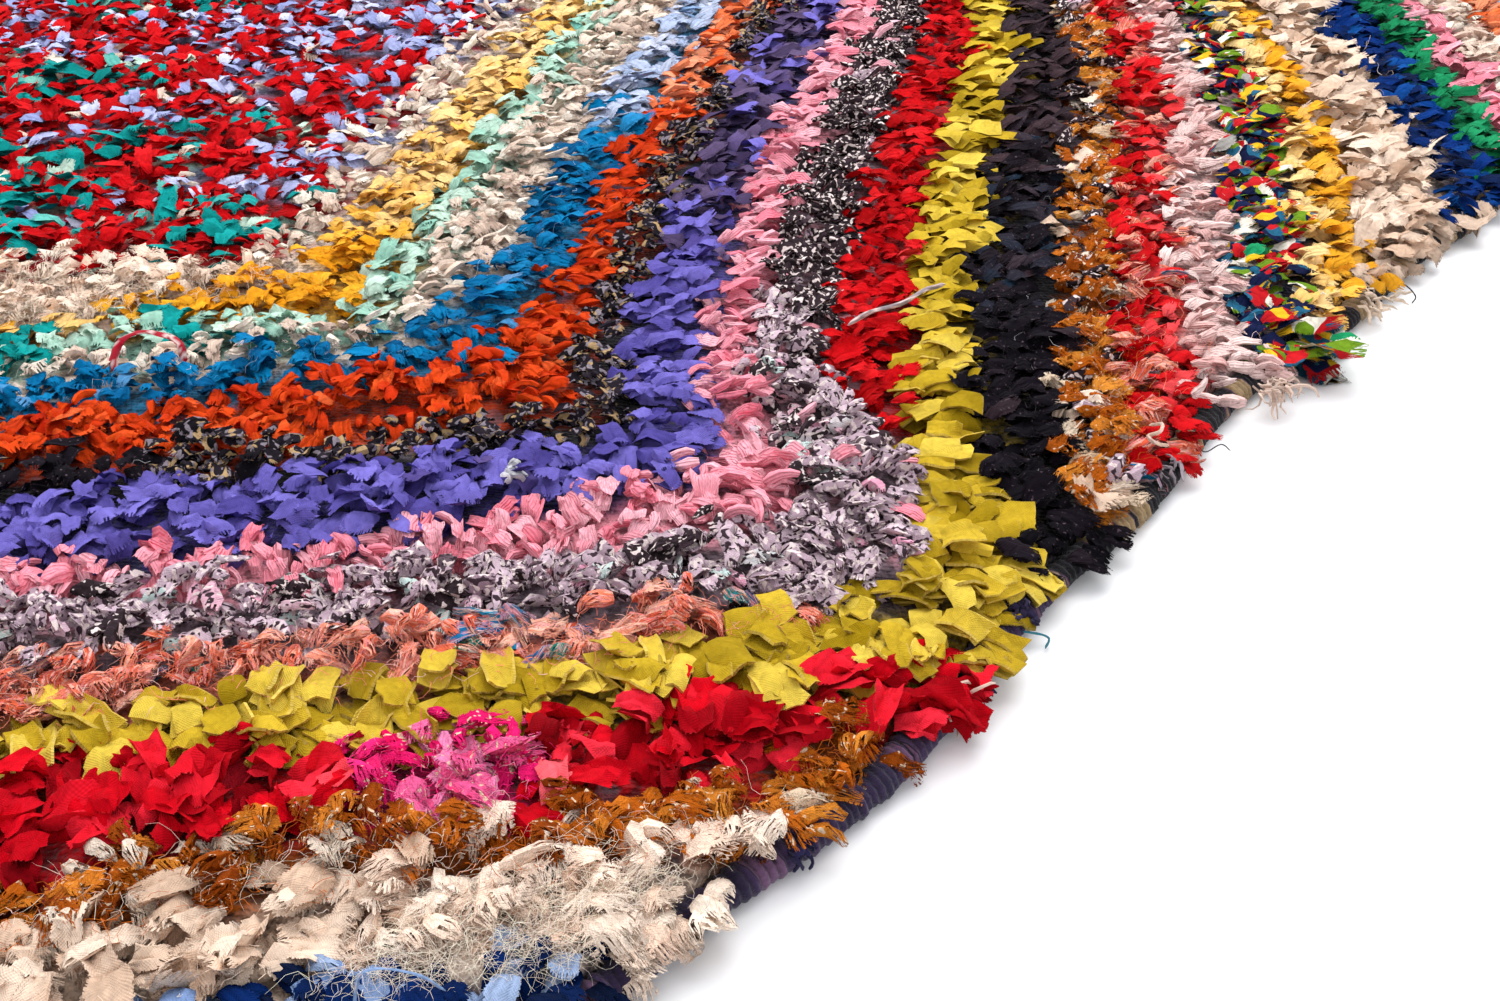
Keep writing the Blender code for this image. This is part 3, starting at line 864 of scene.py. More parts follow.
def grow_family(family):
    """All the rags of one family: roots on the bands that it fills, finer where the picture shows them."""
    seed = sorted(CUTS).index(family)
    chance = np.random.default_rng(100 + seed)
    cut = CUTS[family]
    heap = Heap()
    for level in (3, 2, 1, 0):
        pitch = cut["pitch"] * PITCH_BY_LEVEL[level] * np.sqrt(LAYERS)
        x, y = scatter(pitch, chance)
        heading = nap_heading(x, y)
        rim_x, rim_y, rim_heading = rim_roots(pitch * 0.85, chance)
        inner = np.arange(len(x) + len(rim_x)) < len(x)
        x = np.concatenate((x, rim_x))
        y = np.concatenate((y, rim_y))
        heading = np.concatenate((heading, rim_heading))
        back = np.where(inner, LIE + FAR_LIE * smooth((y - 0.02) / 0.08), -0.004)
        lie_x = x + back * np.cos(heading)
        lie_y = y + back * np.sin(heading)
        mine = (rag_family(lie_x, lie_y, chance)[0] == family) & (seen_level(x, y) == level)
        x, y, heading, inner = x[mine], y[mine], heading[mine], inner[mine]
        if not len(x):
            continue
        in_field = band_place(x, y) <= 0
        spread = np.radians(np.where(in_field, 180, np.where(inner, cut["spread"], 48)))
        heading = heading + spread * chance.uniform(-1, 1, len(x))
        dye = dye_shade(family, x, y, chance)
        scale = rag_scale(family, x, y, chance) * SIZE_BY_LEVEL[level]
        z = root_height(x, y) + chance.uniform(-0.002, cut["lift"], len(x)) * np.where(inner, 1.0, 0.5)
        climb = chance.uniform(*cut["rise"], len(x))
        climb = np.where(inner, climb, chance.uniform(-8, 16, len(x)))
        more = np.where(y > -0.03, 1.3, 0.5) if family == "pink" else 1.0
        rolled = chance.random(len(x)) < cut["rolled"] * more
        layer = np.tile(np.arange(LAYERS), len(x))
        x, y, z, heading, climb, dye, scale, rolled = (
            np.repeat(value, LAYERS) for value in (x, y, z, heading, climb, dye, scale, rolled)
        )
        back = LAYER_BACK * (layer - 0.4) * scale
        aside = chance.normal(0, LAYER_ASIDE, len(x)) * scale
        heading = heading + chance.normal(0, 0.24, len(x))
        x = x - back * np.cos(heading) - aside * np.sin(heading)
        y = y - back * np.sin(heading) + aside * np.cos(heading)
        z = z + LAYER_RISE * layer
        climb = climb + LAYER_CLIMB * layer + chance.normal(0, 5.0, len(x))
        dye = np.clip(dye + chance.normal(0, 0.05, len(x)), 0, 1)
        flat = ~rolled
        cells = cut["fine"] if level == 3 else COARSE_GRIDS[level]
        if flat.any():
            own = (value[flat] for value in (x, y, z, heading, climb, dye, scale))
            lay_petals(heap, *own, cut, cells, chance)
        if rolled.any():
            start = np.stack((x, y, z), axis=-1)[rolled]
            roll = dict(
                ROLL, length=cut["length"], rise=cut["rise"], radius=cut["roll"],
                crumple=0.10 + 90 * cut["crumple"],
            )
            lay_rolls(
                heap, start, heading[rolled], dye[rolled], scale[rolled], roll, ROLL_GRIDS[level], chance
            )
    for east, north, tall, turn, climb, dye, scale in SINGLES.get(family, ()):
        place = (np.array([value]) for value in (east, north, tall, np.radians(turn), climb, dye, scale))
        lay_petals(heap, *place, cut, (6, 6, False), chance)
    return heap


# Materials

RIB_PITCH = 0.0014
RAG_WEAVE_PITCH = 0.0011
WEFT_PITCH = 0.0036
WARP_PITCH = 0.0052
WORN_TONE = (0.93, 0.89, 0.86)


class Strand:
    """One output of a material's nodes: sums, differences and products with it add Math nodes."""

    def __init__(self, recipe, socket):
        self.recipe = recipe
        self.socket = socket

    def _with(self, operation, first, second):
        return self.recipe.maths(operation, first, second)

    def __add__(self, other):
        return self._with("ADD", self, other)

    __radd__ = __add__

    def __sub__(self, other):
        return self._with("SUBTRACT", self, other)

    def __rsub__(self, other):
        return self._with("SUBTRACT", other, self)

    def __mul__(self, other):
        return self._with("MULTIPLY", self, other)

    __rmul__ = __mul__


class Recipe:
    """A material's nodes, made one by one and ending in a rough cloth shader."""

    def __init__(self, name, roughness, sheen):
        self.material = bpy.data.materials.new(name)
        self.material.use_nodes = True
        self.tree = self.material.node_tree
        self.shader = self.tree.nodes["Principled BSDF"]
        self.shader.inputs["Roughness"].default_value = roughness
        self.shader.inputs["Specular IOR Level"].default_value = 0.08
        self.shader.inputs["Sheen Weight"].default_value = sheen
        self.shader.inputs["Sheen Roughness"].default_value = 0.6

    def node(self, kind, settings=None, values=None, output=0):
        """Adds one node: its settings, a ramp's stops among them, then the values or links of its sockets."""
        made = self.tree.nodes.new(kind)
        for key, value in (settings or {}).items():
            if key == "stops":
                self.set_stops(made.color_ramp, value)
            else:
                setattr(made, key, value)
        for key, value in (values or {}).items():
            self.feed(made.inputs[key], value)
        return Strand(self, made.outputs[output])

    def maths(self, operation, *values):
        """One Math node on a value or two."""
        return self.node("ShaderNodeMath", {"operation": operation}, dict(enumerate(values)))

    def laid(self, name):
        """The place on one of the mesh's flat maps."""
        return self.node("ShaderNodeUVMap", {"uv_map": name})

    def own_place(self):
        """The place in the piece's own metres."""
        return self.node("ShaderNodeTexCoord", output=3)

    def part(self, vector, number):
        """One part of a vector: 0 is along x and 1 along y."""
        return self.node("ShaderNodeSeparateXYZ", {}, {0: vector}, number)

    def carried(self, name, output=2):
        """What each point carries under a name: a number, or with output 0 a colour."""
        return self.node("ShaderNodeAttribute", {"attribute_name": name}, output=output)

    def set_stops(self, ramp, stops):
        """Puts a ramp's colours at their places, of which there are at least two."""
        while len(ramp.elements) < len(stops):
            ramp.elements.new(0.5)
        for element, (place, *colour) in zip(ramp.elements, stops):
            element.position = place
            element.color = (*linear(colour), 1.0)

    def feed(self, socket, value):
        """Links a strand to a socket, or sets the socket's own value."""
        if isinstance(value, Strand):
            self.tree.links.new(value.socket, socket)
        else:
            socket.default_value = value

    def mix(self, share, first, second):
        """Mixes two colours, given as strands or as red, green and blue."""
        values = {0: share}
        for key, colour in ((6, first), (7, second)):
            values[key] = colour if isinstance(colour, Strand) else (*linear(colour), 1.0)
        return self.node("ShaderNodeMix", {"data_type": "RGBA", "blend_type": "MIX"}, values, 2)

    def dim(self, colour, share):
        """A colour times a value."""
        return self.node("ShaderNodeVectorMath", {"operation": "SCALE"}, {0: colour, "Scale": share})

    def noise(self, vector, scale, detail=2.0, rough=0.5, flat=True):
        """Noise between about 0.25 and 0.75 on a vector."""
        settings = {"noise_dimensions": "2D" if flat else "3D"}
        values = {"Vector": vector, "Scale": scale, "Detail": detail, "Roughness": rough}
        return self.node("ShaderNodeTexNoise", settings, values)

    def stretch(self, vector, shares):
        """A vector with its parts multiplied, to draw a pattern out along one of them."""
        return self.node("ShaderNodeVectorMath", {"operation": "MULTIPLY"}, {0: vector, 1: shares})

    def step(self, value, low, high):
        """Runs from 0 at low to 1 at high, with level ends."""
        settings = {"interpolation_type": "SMOOTHSTEP"}
        return self.node("ShaderNodeMapRange", settings, {0: value, 1: low, 2: high, 3: 0.0, 4: 1.0})

    def finish(self, colour, height, depth):
        """Feeds the colour and a bump, whose height is in shares of depth in metres."""
        values = {"Height": height, "Distance": depth, "Strength": 1.0}
        bump = self.node("ShaderNodeBump", {}, values)
        self.feed(self.shader.inputs["Base Color"], colour)
        self.feed(self.shader.inputs["Normal"], bump)
        return self.material


def linear(colour):
    """A colour as seen on a screen, turned into amounts of light: the usual curve, channel by channel."""
    return tuple(c / 12.92 if c <= 0.04045 else ((c + 0.055) / 1.055) ** 2.4 for c in colour)


def cloth(family):
    """The cloth of one family of rags: dye by rag, weave or ribs, print, worn edges, and painted shade at the
    root, in creases, along gathers and between ribs.
    """
    recipe = Recipe(PIECE_NAMES[family].replace("_", " "), 0.9, 0.0)
    dye = recipe.carried("dye")
    depth = recipe.carried("depth")
    rag = recipe.laid("rag")
    cut = recipe.laid("cut")
    along = recipe.part(rag, 0)
    across = recipe.part(rag, 1)
    colour = recipe.node("ShaderNodeValToRGB", {"stops": DYES[family]}, {0: dye})
    colour = PRINTS.get(family, plain_dye)(recipe, colour, rag)
    share_along = recipe.part(cut, 0)
    share_across = recipe.part(cut, 1)
    crush, fuzz, gather, fringe = CLOTH_FEEL.get(family, (0.5, 0.16, 0.45, 0.10))
    creased = recipe.noise(rag, 90.0, 2.0, 0.5)
    off_middle = recipe.maths("ABSOLUTE", creased * 2.0 - 1.0)
    crease = recipe.step(off_middle, 0.0, 0.20)
    soft = recipe.noise(rag, 420.0, 2.0, 0.6)
    faded = recipe.noise(rag, 38.0, 1.0, 0.5)
    strings = recipe.noise(recipe.stretch(rag, (0.10, 1.0, 1.0)), 1100.0, 2.0, 0.6)
    drawn = recipe.maths("SINE", (share_across * 2.6 + 1.5 * creased) * (2 * np.pi))
    drawn = (drawn * 0.5 + 0.5) * (1.0 - share_along)
    # Painted shade in the creases and along the gathers' folds, times fine mottling and fading at random in
    # the dye
    shade = (0.90 + 0.10 * crease) * (0.82 + 0.36 * soft) * (1.08 - 0.55 * gather * drawn)
    shade = shade * (0.78 + 0.44 * faded)
    stringy = fuzz > 0.3
    if stringy:
        shade = shade * (0.50 + 1.0 * strings)
    colour = recipe.dim(colour, shade)
    from_middle = recipe.maths("ABSOLUTE", share_across * 2.0 - 1.0)
    near_tip = recipe.step(share_along + 0.08 * soft, 1.01, 1.06)
    near_side = recipe.step(from_middle + 0.08 * soft, 1.01, 1.06)
    edge = recipe.maths("MAXIMUM", near_tip, near_side)
    colour = recipe.mix(edge * WORN_EDGE.get(family, 0.10), colour, WORN_TONE)
    # Painted shade deep in the pile: the dye darkens towards the ground, down to the family's share at depth
    # 0
    root_painted_shade = ROOT_PAINTED_SHADE.get(family, 0.60)
    colour = recipe.dim(colour, root_painted_shade + (1.0 - root_painted_shade) * recipe.step(depth, 0.0, 0.60))
    across_strings = recipe.noise(recipe.stretch(rag, (1.0, 0.12, 1.0)), 900.0, 2.0, 0.6)
    left_at_tip = recipe.step(share_along + 2.0 * fringe * recipe.step(strings, 0.40, 0.60), 1.0, 1.02)
    side_strings = recipe.step(across_strings, 0.40, 0.60)
    left_at_side = recipe.step(from_middle + 1.2 * fringe * side_strings, 1.0, 1.02)
    worn_off = recipe.maths("MAXIMUM", left_at_tip, left_at_side)
    recipe.feed(recipe.shader.inputs["Alpha"], 1.0 - worn_off)
    if family in RIBBED:
        ribs = recipe.maths("SINE", across * (2 * np.pi / RIB_PITCH))
        # Painted shade in the grooves between the ribs
        colour = recipe.dim(colour, ribs * 0.07 + 0.93)
        height = 0.10 * soft + 0.20 * (ribs * 0.5 + 0.5) + 0.28 * crease + 0.5 * creased + gather * drawn
        return recipe.finish(colour, height, depth=0.0022)
    warp = recipe.maths("SINE", across * (2 * np.pi / RAG_WEAVE_PITCH))
    weft = recipe.maths("SINE", along * (2 * np.pi / RAG_WEAVE_PITCH))
    height = fuzz * soft + 0.05 * warp * weft + 0.2 * crush * crease + crush * creased + gather * drawn
    if stringy:
        height = height + 0.5 * fuzz * strings
    return recipe.finish(colour, height, depth=0.0024)


def plain_dye(recipe, colour, rag):
    """No print: the dye as it is."""
    return colour


def ink(recipe, colour, rag, scale, low, high, tone, turn=0.0):
    """One colour of ink where a noise on the cloth lies above a bound."""
    placed = recipe.node("ShaderNodeVectorMath", {"operation": "ADD"}, {0: rag, 1: (turn, 1.7 * turn, 0.0)})
    shape = recipe.step(recipe.noise(placed, scale, 1.0), low, high)
    return recipe.mix(shape, colour, tone)


def grey_print(recipe, colour, rag):
    """Small irregular dark marks and off-white squiggles on grey, or on black where the cloth is dark."""
    colour = ink(recipe, colour, rag, 300.0, 0.55, 0.62, (0.24, 0.18, 0.21))
    return ink(recipe, colour, rag, 280.0, 0.57, 0.63, (0.90, 0.83, 0.82), 4.1)


def dark_mottle(recipe, colour, rag):
    """Tan and grey flecks on black."""
    colour = ink(recipe, colour, rag, 140.0, 0.57, 0.62, (0.70, 0.58, 0.42))
    return ink(recipe, colour, rag, 240.0, 0.58, 0.62, (0.52, 0.48, 0.52), 3.3)


def thread_mix(recipe, colour, rag):
    """Strings of orange, pink and pale thread in one frayed cloth: inks on the cloth drawn out along it."""
    drawn = recipe.stretch(rag, (0.14, 1.0, 1.0))
    for tone, turn in (((0.92, 0.42, 0.24), 0.9), ((0.95, 0.62, 0.66), 3.1), ((0.98, 0.84, 0.76), 5.3)):
        shape = recipe.step(recipe.noise(drawn, 620.0 + 40.0 * turn, 1.0), 0.54, 0.62)
        colour = recipe.mix(shape * 0.5, colour, tone)
    return colour


def lint(recipe, colour, rag):
    """Fine grey lint on dark cloth."""
    return ink(recipe, colour, rag, 420.0, 0.69, 0.80, (0.34, 0.28, 0.31), 1.9)


def bright_print(recipe, colour, rag):
    """Blots of yellow, blue, green and red on navy or white."""
    for scale, tone, turn in (
        (36.0, (0.92, 0.72, 0.14), 0.6),
        (40.0, (0.14, 0.38, 0.50), 2.3),
        (34.0, (0.42, 0.56, 0.12), 5.7),
        (42.0, (0.76, 0.10, 0.13), 7.9),
    ):
        colour = ink(recipe, colour, rag, scale, 0.59, 0.605, tone, turn)
    return colour


def pale_flecks(recipe, colour, rag):
    """Pale flecks of fray."""
    return ink(recipe, colour, rag, 300.0, 0.66, 0.74, (0.93, 0.82, 0.70))


PRINTS = {
    "print": grey_print,
    "mottle": dark_mottle,
    "multicolour": bright_print,
    "magenta": pale_flecks,
    "coral": thread_mix,
    "black": lint,
    "ochre": pale_flecks,
}
WORN_EDGE = {"black": 0.05, "mottle": 0.06, "royal": 0.06, "purple": 0.06, "scarlet": 0.03, "red": 0.05}
# How a cloth feels, in shares: depth of its crumples, nap and gathers, and how far its edges are worn off;
# the gathers also set the painted shade along their folds
CLOTH_FEEL = {
    "chartreuse": (0.26, 0.16, 0.10, 0.004),
    "scarlet": (0.35, 0.08, 0.26, 0.02),
    "purple": (0.30, 0.08, 0.20, 0.06),
    "red": (0.40, 0.12, 0.50, 0.10),
    "blue": (0.45, 0.12, 0.60, 0.14),
    "orange": (0.40, 0.12, 0.70, 0.08),
    "black": (0.45, 0.12, 0.50, 0.10),
    "pink": (0.30, 0.10, 0.16, 0.02),
    "blush": (0.34, 0.10, 0.26, 0.08),
    "fleece": (0.6, 0.42, 0.12, 0.24),
    "cream": (0.6, 0.35, 0.4, 0.16),
    "coral": (0.7, 0.50, 0.3, 0.28),
    "ochre": (0.7, 0.50, 0.3, 0.30),
    "magenta": (0.7, 0.40, 0.3, 0.24),
    "linen": (0.45, 0.14, 0.35, 0.10),
    "print": (0.7, 0.14, 0.4, 0.10),
}
RIBBED = ("pink", "blush")
# Share of the dye that is left at a rag's root, where painted shade darkens the depths of the pile
ROOT_PAINTED_SHADE = {"pink": 0.82, "blush": 0.80, "fleece": 0.86}


def ground_cloth():
    """The ground under the pile: the bands' colours in the shade, with paler gaps, weft and warp."""
    recipe = Recipe("woven ground", 0.95, 0.1)
    place = recipe.own_place()
    shade = recipe.carried("shade", 0)
    soft = recipe.noise(place, 130.0, 3.0, 0.6, flat=False)
    # Painted shade in the hollows: darker where the noise that also lifts the bump is low
    colour = recipe.dim(shade, recipe.step(soft, 0.36, 0.60) * 0.85 + 0.25)
    gap = recipe.step(recipe.noise(place, 55.0, 1.0, flat=False), 0.66, 0.72)
    colour = recipe.mix(gap * 0.4, colour, (0.50, 0.46, 0.50))
    along = recipe.part(place, 1)
    across = recipe.part(place, 0)
    weft = recipe.maths("SINE", along * (2 * np.pi / WEFT_PITCH))
    warp = recipe.maths("SINE", across * (2 * np.pi / WARP_PITCH))
    return recipe.finish(colour, 1.0 * soft + 0.06 * weft * warp, depth=0.0060)


def binding_yarn(name, stops):
    """Twisted yarn of the overcast edge: its colour changes by turn, fine plies run along each turn, and
    painted shade darkens the grooves between turns.
    """
    recipe = Recipe(name, 0.92, 0.15)
    dye = recipe.carried("dye")
    depth = recipe.carried("depth")
    rag = recipe.laid("rag")
    colour = recipe.node("ShaderNodeValToRGB", {"stops": stops}, {0: dye})
    soft = recipe.noise(rag, 500.0, 3.0, 0.65)
    # Painted shade: darker where depth is low, in the grooves between turns
    colour = recipe.dim(colour, (0.45 + 0.9 * soft) * (0.45 + 0.55 * depth))
    return recipe.finish(colour, soft, depth=0.0008)


def thread_yarn():
    """Single threads and frayed fibres, each in the colour that it carries."""
    recipe = Recipe("loose threads", 0.9, 0.1)
    shade = recipe.carried("shade", 0)
    place = recipe.own_place()
    soft = recipe.noise(place, 900.0, 2.0, flat=False)
    return recipe.finish(recipe.dim(shade, 0.75 + 0.5 * soft), soft, depth=0.0003)


# Pieces


def settle(name, mesh, material):
    """Puts a finished mesh into the scene as a piece that rides on the rug."""
    mesh.materials.append(material)
    piece = bpy.data.objects.new(name, mesh)
    bpy.context.scene.collection.objects.link(piece)
    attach(piece, "root")
    return piece


def middle_dye(family):
    """A family's dye halfway along its shades."""
    stops = np.array(DYES[family])
    return np.array([np.interp(0.5, stops[:, 0], stops[:, channel]) for channel in (1, 2, 3)])


# The ground: how far it stays in from the long and short edges, its height in the middle and at the rim
GROUND_FROM_LONG = 0.0165
GROUND_FROM_SHORT = 0.0015
GROUND_HEIGHT = 0.0115
GROUND_RIM = 0.0045
GROUND_SLOPE = 0.030  # width of the strip over which it comes down to the rim


def ground_mesh(size):
    """The ground as one closed slab: a lumpy top on a grid, a rim that stands upright, and a flat underside.

    The top's height is a low bed plus broad and finer waves, and falls at the rim. Each corner of the grid is
    drawn to the wandering edge in proportion to its distance from the middle.
    """
    columns = int(round(2 * HALF_WIDTH / size))
    rows = int(round(2 * HALF_LENGTH / size))
    share_x, share_y = np.meshgrid(np.linspace(-1, 1, columns + 1), np.linspace(-1, 1, rows + 1))
    flat_x = share_x * (HALF_WIDTH - GROUND_FROM_LONG)
    flat_y = share_y * (HALF_LENGTH - GROUND_FROM_SHORT)
    edge_x, edge_y = nearer_edges(flat_x, flat_y)
    x = (flat_x + share_x * edge_x).ravel()
    y = (flat_y + share_y * edge_y).ravel()
    z = GROUND_HEIGHT + 0.0020 * swell(x, y, 0.06, 51) + 0.0018 * swell(x, y, 0.036, 53)
    to_rim = np.minimum(HALF_WIDTH - 0.012 - np.abs(x), HALF_LENGTH + 0.003 - np.abs(y))
    z = GROUND_RIM + (z - GROUND_RIM) * smooth(to_rim / GROUND_SLOPE)
    per = columns + 1
    i, j = grid_cells(rows, columns)
    corner = (i * per + j).ravel()
    quads = np.stack((corner, corner + 1, corner + per + 1, corner + per), axis=-1)
    ring = np.concatenate(
        (
            np.arange(columns),
            np.arange(rows) * per + columns,
            rows * per + columns - np.arange(columns),
            (rows - np.arange(rows)) * per,
        )
    )
    count = len(x)
    low = count + np.arange(len(ring))
    after = np.roll(np.arange(len(ring)), -1)
    walls = np.stack((ring, low, low[after], ring[after]), axis=-1)
    hem = np.stack((x[ring], y[ring], np.zeros(len(ring))), axis=-1)
    points = np.concatenate((np.stack((x, y, z), axis=-1), hem))
    corners = np.concatenate((quads.ravel(), walls.ravel(), low[::-1]))
    starts = 4 * np.arange(len(quads) + len(walls) + 1)
    mesh = bare_mesh("woven_ground", points, corners, starts)
    mesh.validate()
    chance = np.random.default_rng(77)
    family = rag_family(points[:, 0], points[:, 1], chance)[0]
    names = sorted(DYES)
    tones = np.array([linear(middle_dye(name)) for name in names])
    # Painted shade: the ground takes each band's middle dye darkened, as the shaded depths of the pile look,
    # less so under pale families
    pale = np.isin(family, ("fleece", "cream", "blush", "linen", "pink"))
    shade = tones[np.searchsorted(names, family)] * np.where(pale, 0.92, 0.62)[:, None]
    add_shade(mesh, shade)
    spread = points[corners][:, :2]
    add_map(mesh, "rag", spread)
    under = np.arange(len(corners)) >= len(corners) - len(low)
    square = (spread + (HALF_WIDTH + 0.02, HALF_LENGTH + 0.02)) / (2 * HALF_LENGTH + 0.04)
    beside = square[:, ::-1] * (0.28, 0.28) + (0.70, 0.02)
    add_map(mesh, "OFBake", np.where(under[:, None], beside, square * (0.98, 0.98) + 0.01))
    mesh.uv_layers["rag"].active_render = True
    return mesh


TURN_PITCH = 0.0040  # one turn of the overcast yarn along the edge
SHOWN_MIDDLE = 0.56  # share of the edge's length at the middle of the part that the picture shows
SHOWN_REACH = 0.24
CORD_HALF_WIDTH = 0.0068
CORD_HALF_HEIGHT = 0.0046
CORD_CENTRE = 0.0052


def selvedge_mesh(side, name, chance):
    """An overcast cord: an oval along the edge, which swells by the size of a sine once a turn of yarn.

    The turns lie at a slant, so the sine's phase also moves round the oval. Their pitch drifts on the way.
    """
    sign = 1.0 if side == "right" else -1.0
    turns = int(2 * HALF_LENGTH / TURN_PITCH)
    seen = side == "right"
    coarse = np.arange(turns * 2 + 1) / 2
    fine = np.arange(turns * 5 + 1) / 5
    shown = np.abs(fine / turns - SHOWN_MIDDLE) < SHOWN_REACH
    apart = np.abs(coarse / turns - SHOWN_MIDDLE) >= SHOWN_REACH
    t = np.sort(np.concatenate((fine[shown], coarse[apart]))) if seen else coarse
    sides = 9 if seen else 7
    y = -HALF_LENGTH + 0.0005 + (2 * HALF_LENGTH - 0.001) * t / turns
    around = angles(sides)
    phase = t[:, None] + 0.35 * np.cos(around)[None, :] + 0.5 * np.sin(2 * np.pi * y / 0.13)[:, None]
    ridge = np.abs(np.sin(np.pi * phase))
    number = np.floor(phase).astype(int)
    drawn = chance.normal(0, 1, number.max() - number.min() + 2)[number - number.min()]
    lumps = 0.0006 * swell(y, np.zeros_like(y), 0.05, 61)[:, None]
    grow = 0.0013 * ridge + 0.00045 * drawn + lumps
    centre = sign * (HALF_WIDTH + wander(side, y, HALF_LENGTH) - 0.5 * SELVEDGE_WIDTH)
    x = centre[:, None] + (CORD_HALF_WIDTH + grow) * np.cos(around)[None, :]
    z = CORD_CENTRE + (CORD_HALF_HEIGHT + grow) * np.sin(around)[None, :]
    z = np.maximum(z, 0.0002)
    points = np.stack((x, np.broadcast_to(y[:, None], x.shape), z), axis=-1).reshape(-1, 3)
    rows = len(y) - 1
    i, j = grid_cells(rows, sides)
    here = (i * sides + j).ravel()
    beside = (i * sides + (j + 1) % sides).ravel()
    wall = np.stack((here, here + sides, beside + sides, beside), axis=-1)
    first = np.arange(sides)
    last = (rows * sides + np.arange(sides))[::-1]
    corners = np.concatenate((wall.ravel(), first, last))
    starts = np.concatenate((4 * np.arange(len(wall)), [4 * len(wall), 4 * len(wall) + sides]))
    mesh = bare_mesh(name, points, corners, starts)
    stripe = swell(y, np.full_like(y, 0.3), 0.022, 67)[:, None] + 0.25 * drawn
    along = np.broadcast_to(y[:, None], x.shape)
    dark = smooth((along - 0.01) / 0.05)
    plain = 0.30 * dark + 0.12 * np.clip(0.5 + stripe, 0, 1)
    add_values(mesh, "dye", np.where(stripe > 0.62 - 0.30 * dark, 0.75 + 0.25 * dark, plain))
    # The depth here sets painted shade: low in the grooves between turns of yarn, high on their crests
    add_values(mesh, "depth", np.clip(0.25 + 0.9 * ridge, 0, 1))
    code_turn = np.concatenate(
        (np.stack((j, j, j + 1, j + 1), axis=-1).ravel(), np.arange(sides), np.arange(sides)[::-1])
    )
    code_row = np.concatenate(
        (np.stack((i, i + 1, i + 1, i), axis=-1).ravel(), np.zeros(sides, dtype=int), np.full(sides, rows))
    )
    add_map(mesh, "rag", np.stack((y[code_row], code_turn / sides * 0.036), axis=-1))
    strips = 24
    share = code_row / rows * strips
    cell_row = np.concatenate((np.repeat(i.ravel(), 4), np.zeros(sides, dtype=int), np.full(sides, rows - 1)))
    strip = np.minimum(np.floor(cell_row / rows * strips), strips - 1)
    laid = np.stack((share - strip, (strip + 0.04 + 0.92 * code_turn / sides) / strips), axis=-1)
    laid[:, 0] = 0.01 + 0.98 * np.clip(laid[:, 0], 0, 1)
    add_map(mesh, "OFBake", laid)
    mesh.uv_layers["rag"].active_render = True
    mesh.validate()
    return mesh


# Single fibres, plain ones and woolly ones
FIBRE = dict(
    length=(0.006, 0.020), rise=(-5, 60), fall=(-50, 40), swing=1.7, waves=1.3,
    radius=(0.00012, 0.00020), round=0.0, taper=0.45, pleat=0.0, crumple=0.0,
)
WOOL = dict(
    FIBRE, length=(0.008, 0.022), rise=(0, 40), fall=(-60, 0), swing=1.4, waves=0.7, radius=(0.00006, 0.00011)
)

# Loose ends that stand out of the pile: colour, share of pale stitches, radius and the way each one runs
CORDS = (
    ((0.62, 0.01, 0.13), 0.22, 0.0021, (
        (0.3177, -0.1318, 0.022), (0.3087, -0.1212, 0.030), (0.3117, -0.1083, 0.037),
        (0.3258, -0.1024, 0.037), (0.3357, -0.1013, 0.032), (0.3412, -0.1042, 0.023),
    )),
    ((0.55, 0.50, 0.52), 0.40, 0.0013, (
        (0.5904, 0.1445, 0.028), (0.5938, 0.1600, 0.031), (0.6010, 0.1782, 0.031),
        (0.6020, 0.2012, 0.031), (0.6023, 0.2212, 0.027),
    )),
    ((0.80, 0.68, 0.60), 0.10, 0.0009, (
        (0.7645, 0.1563, 0.027), (0.7714, 0.1551, 0.031), (0.7740, 0.1478, 0.031),
        (0.7707, 0.1424, 0.030), (0.7769, 0.1405, 0.029), (0.7798, 0.1474, 0.026),
    )),
    ((0.50, 0.60, 0.76), 0.05, 0.0005, (
        (0.7336, -0.3059, 0.022), (0.7317, -0.3004, 0.031), (0.7370, -0.2946, 0.034),
        (0.7463, -0.2888, 0.031), (0.7522, -0.2843, 0.024),
    )),
    ((0.10, 0.08, 0.11), 0.0, 0.0003, (
        (0.7775, 0.1867, 0.008), (0.7832, 0.1870, 0.004), (0.7874, 0.1957, 0.006), (0.7917, 0.1992, 0.002),
    )),
    ((0.10, 0.10, 0.14), 0.0, 0.0004, (
        (0.7873, 0.4174, 0.010), (0.7945, 0.4239, 0.010), (0.8023, 0.4262, 0.004), (0.8033, 0.4190, 0.002),
    )),
    ((0.16, 0.44, 0.50), 0.0, 0.0005, (
        (0.7893, 0.0012, 0.008), (0.7936, 0.0062, 0.006), (0.7974, 0.0101, 0.003), (0.7993, 0.0042, 0.002),
    )),
)

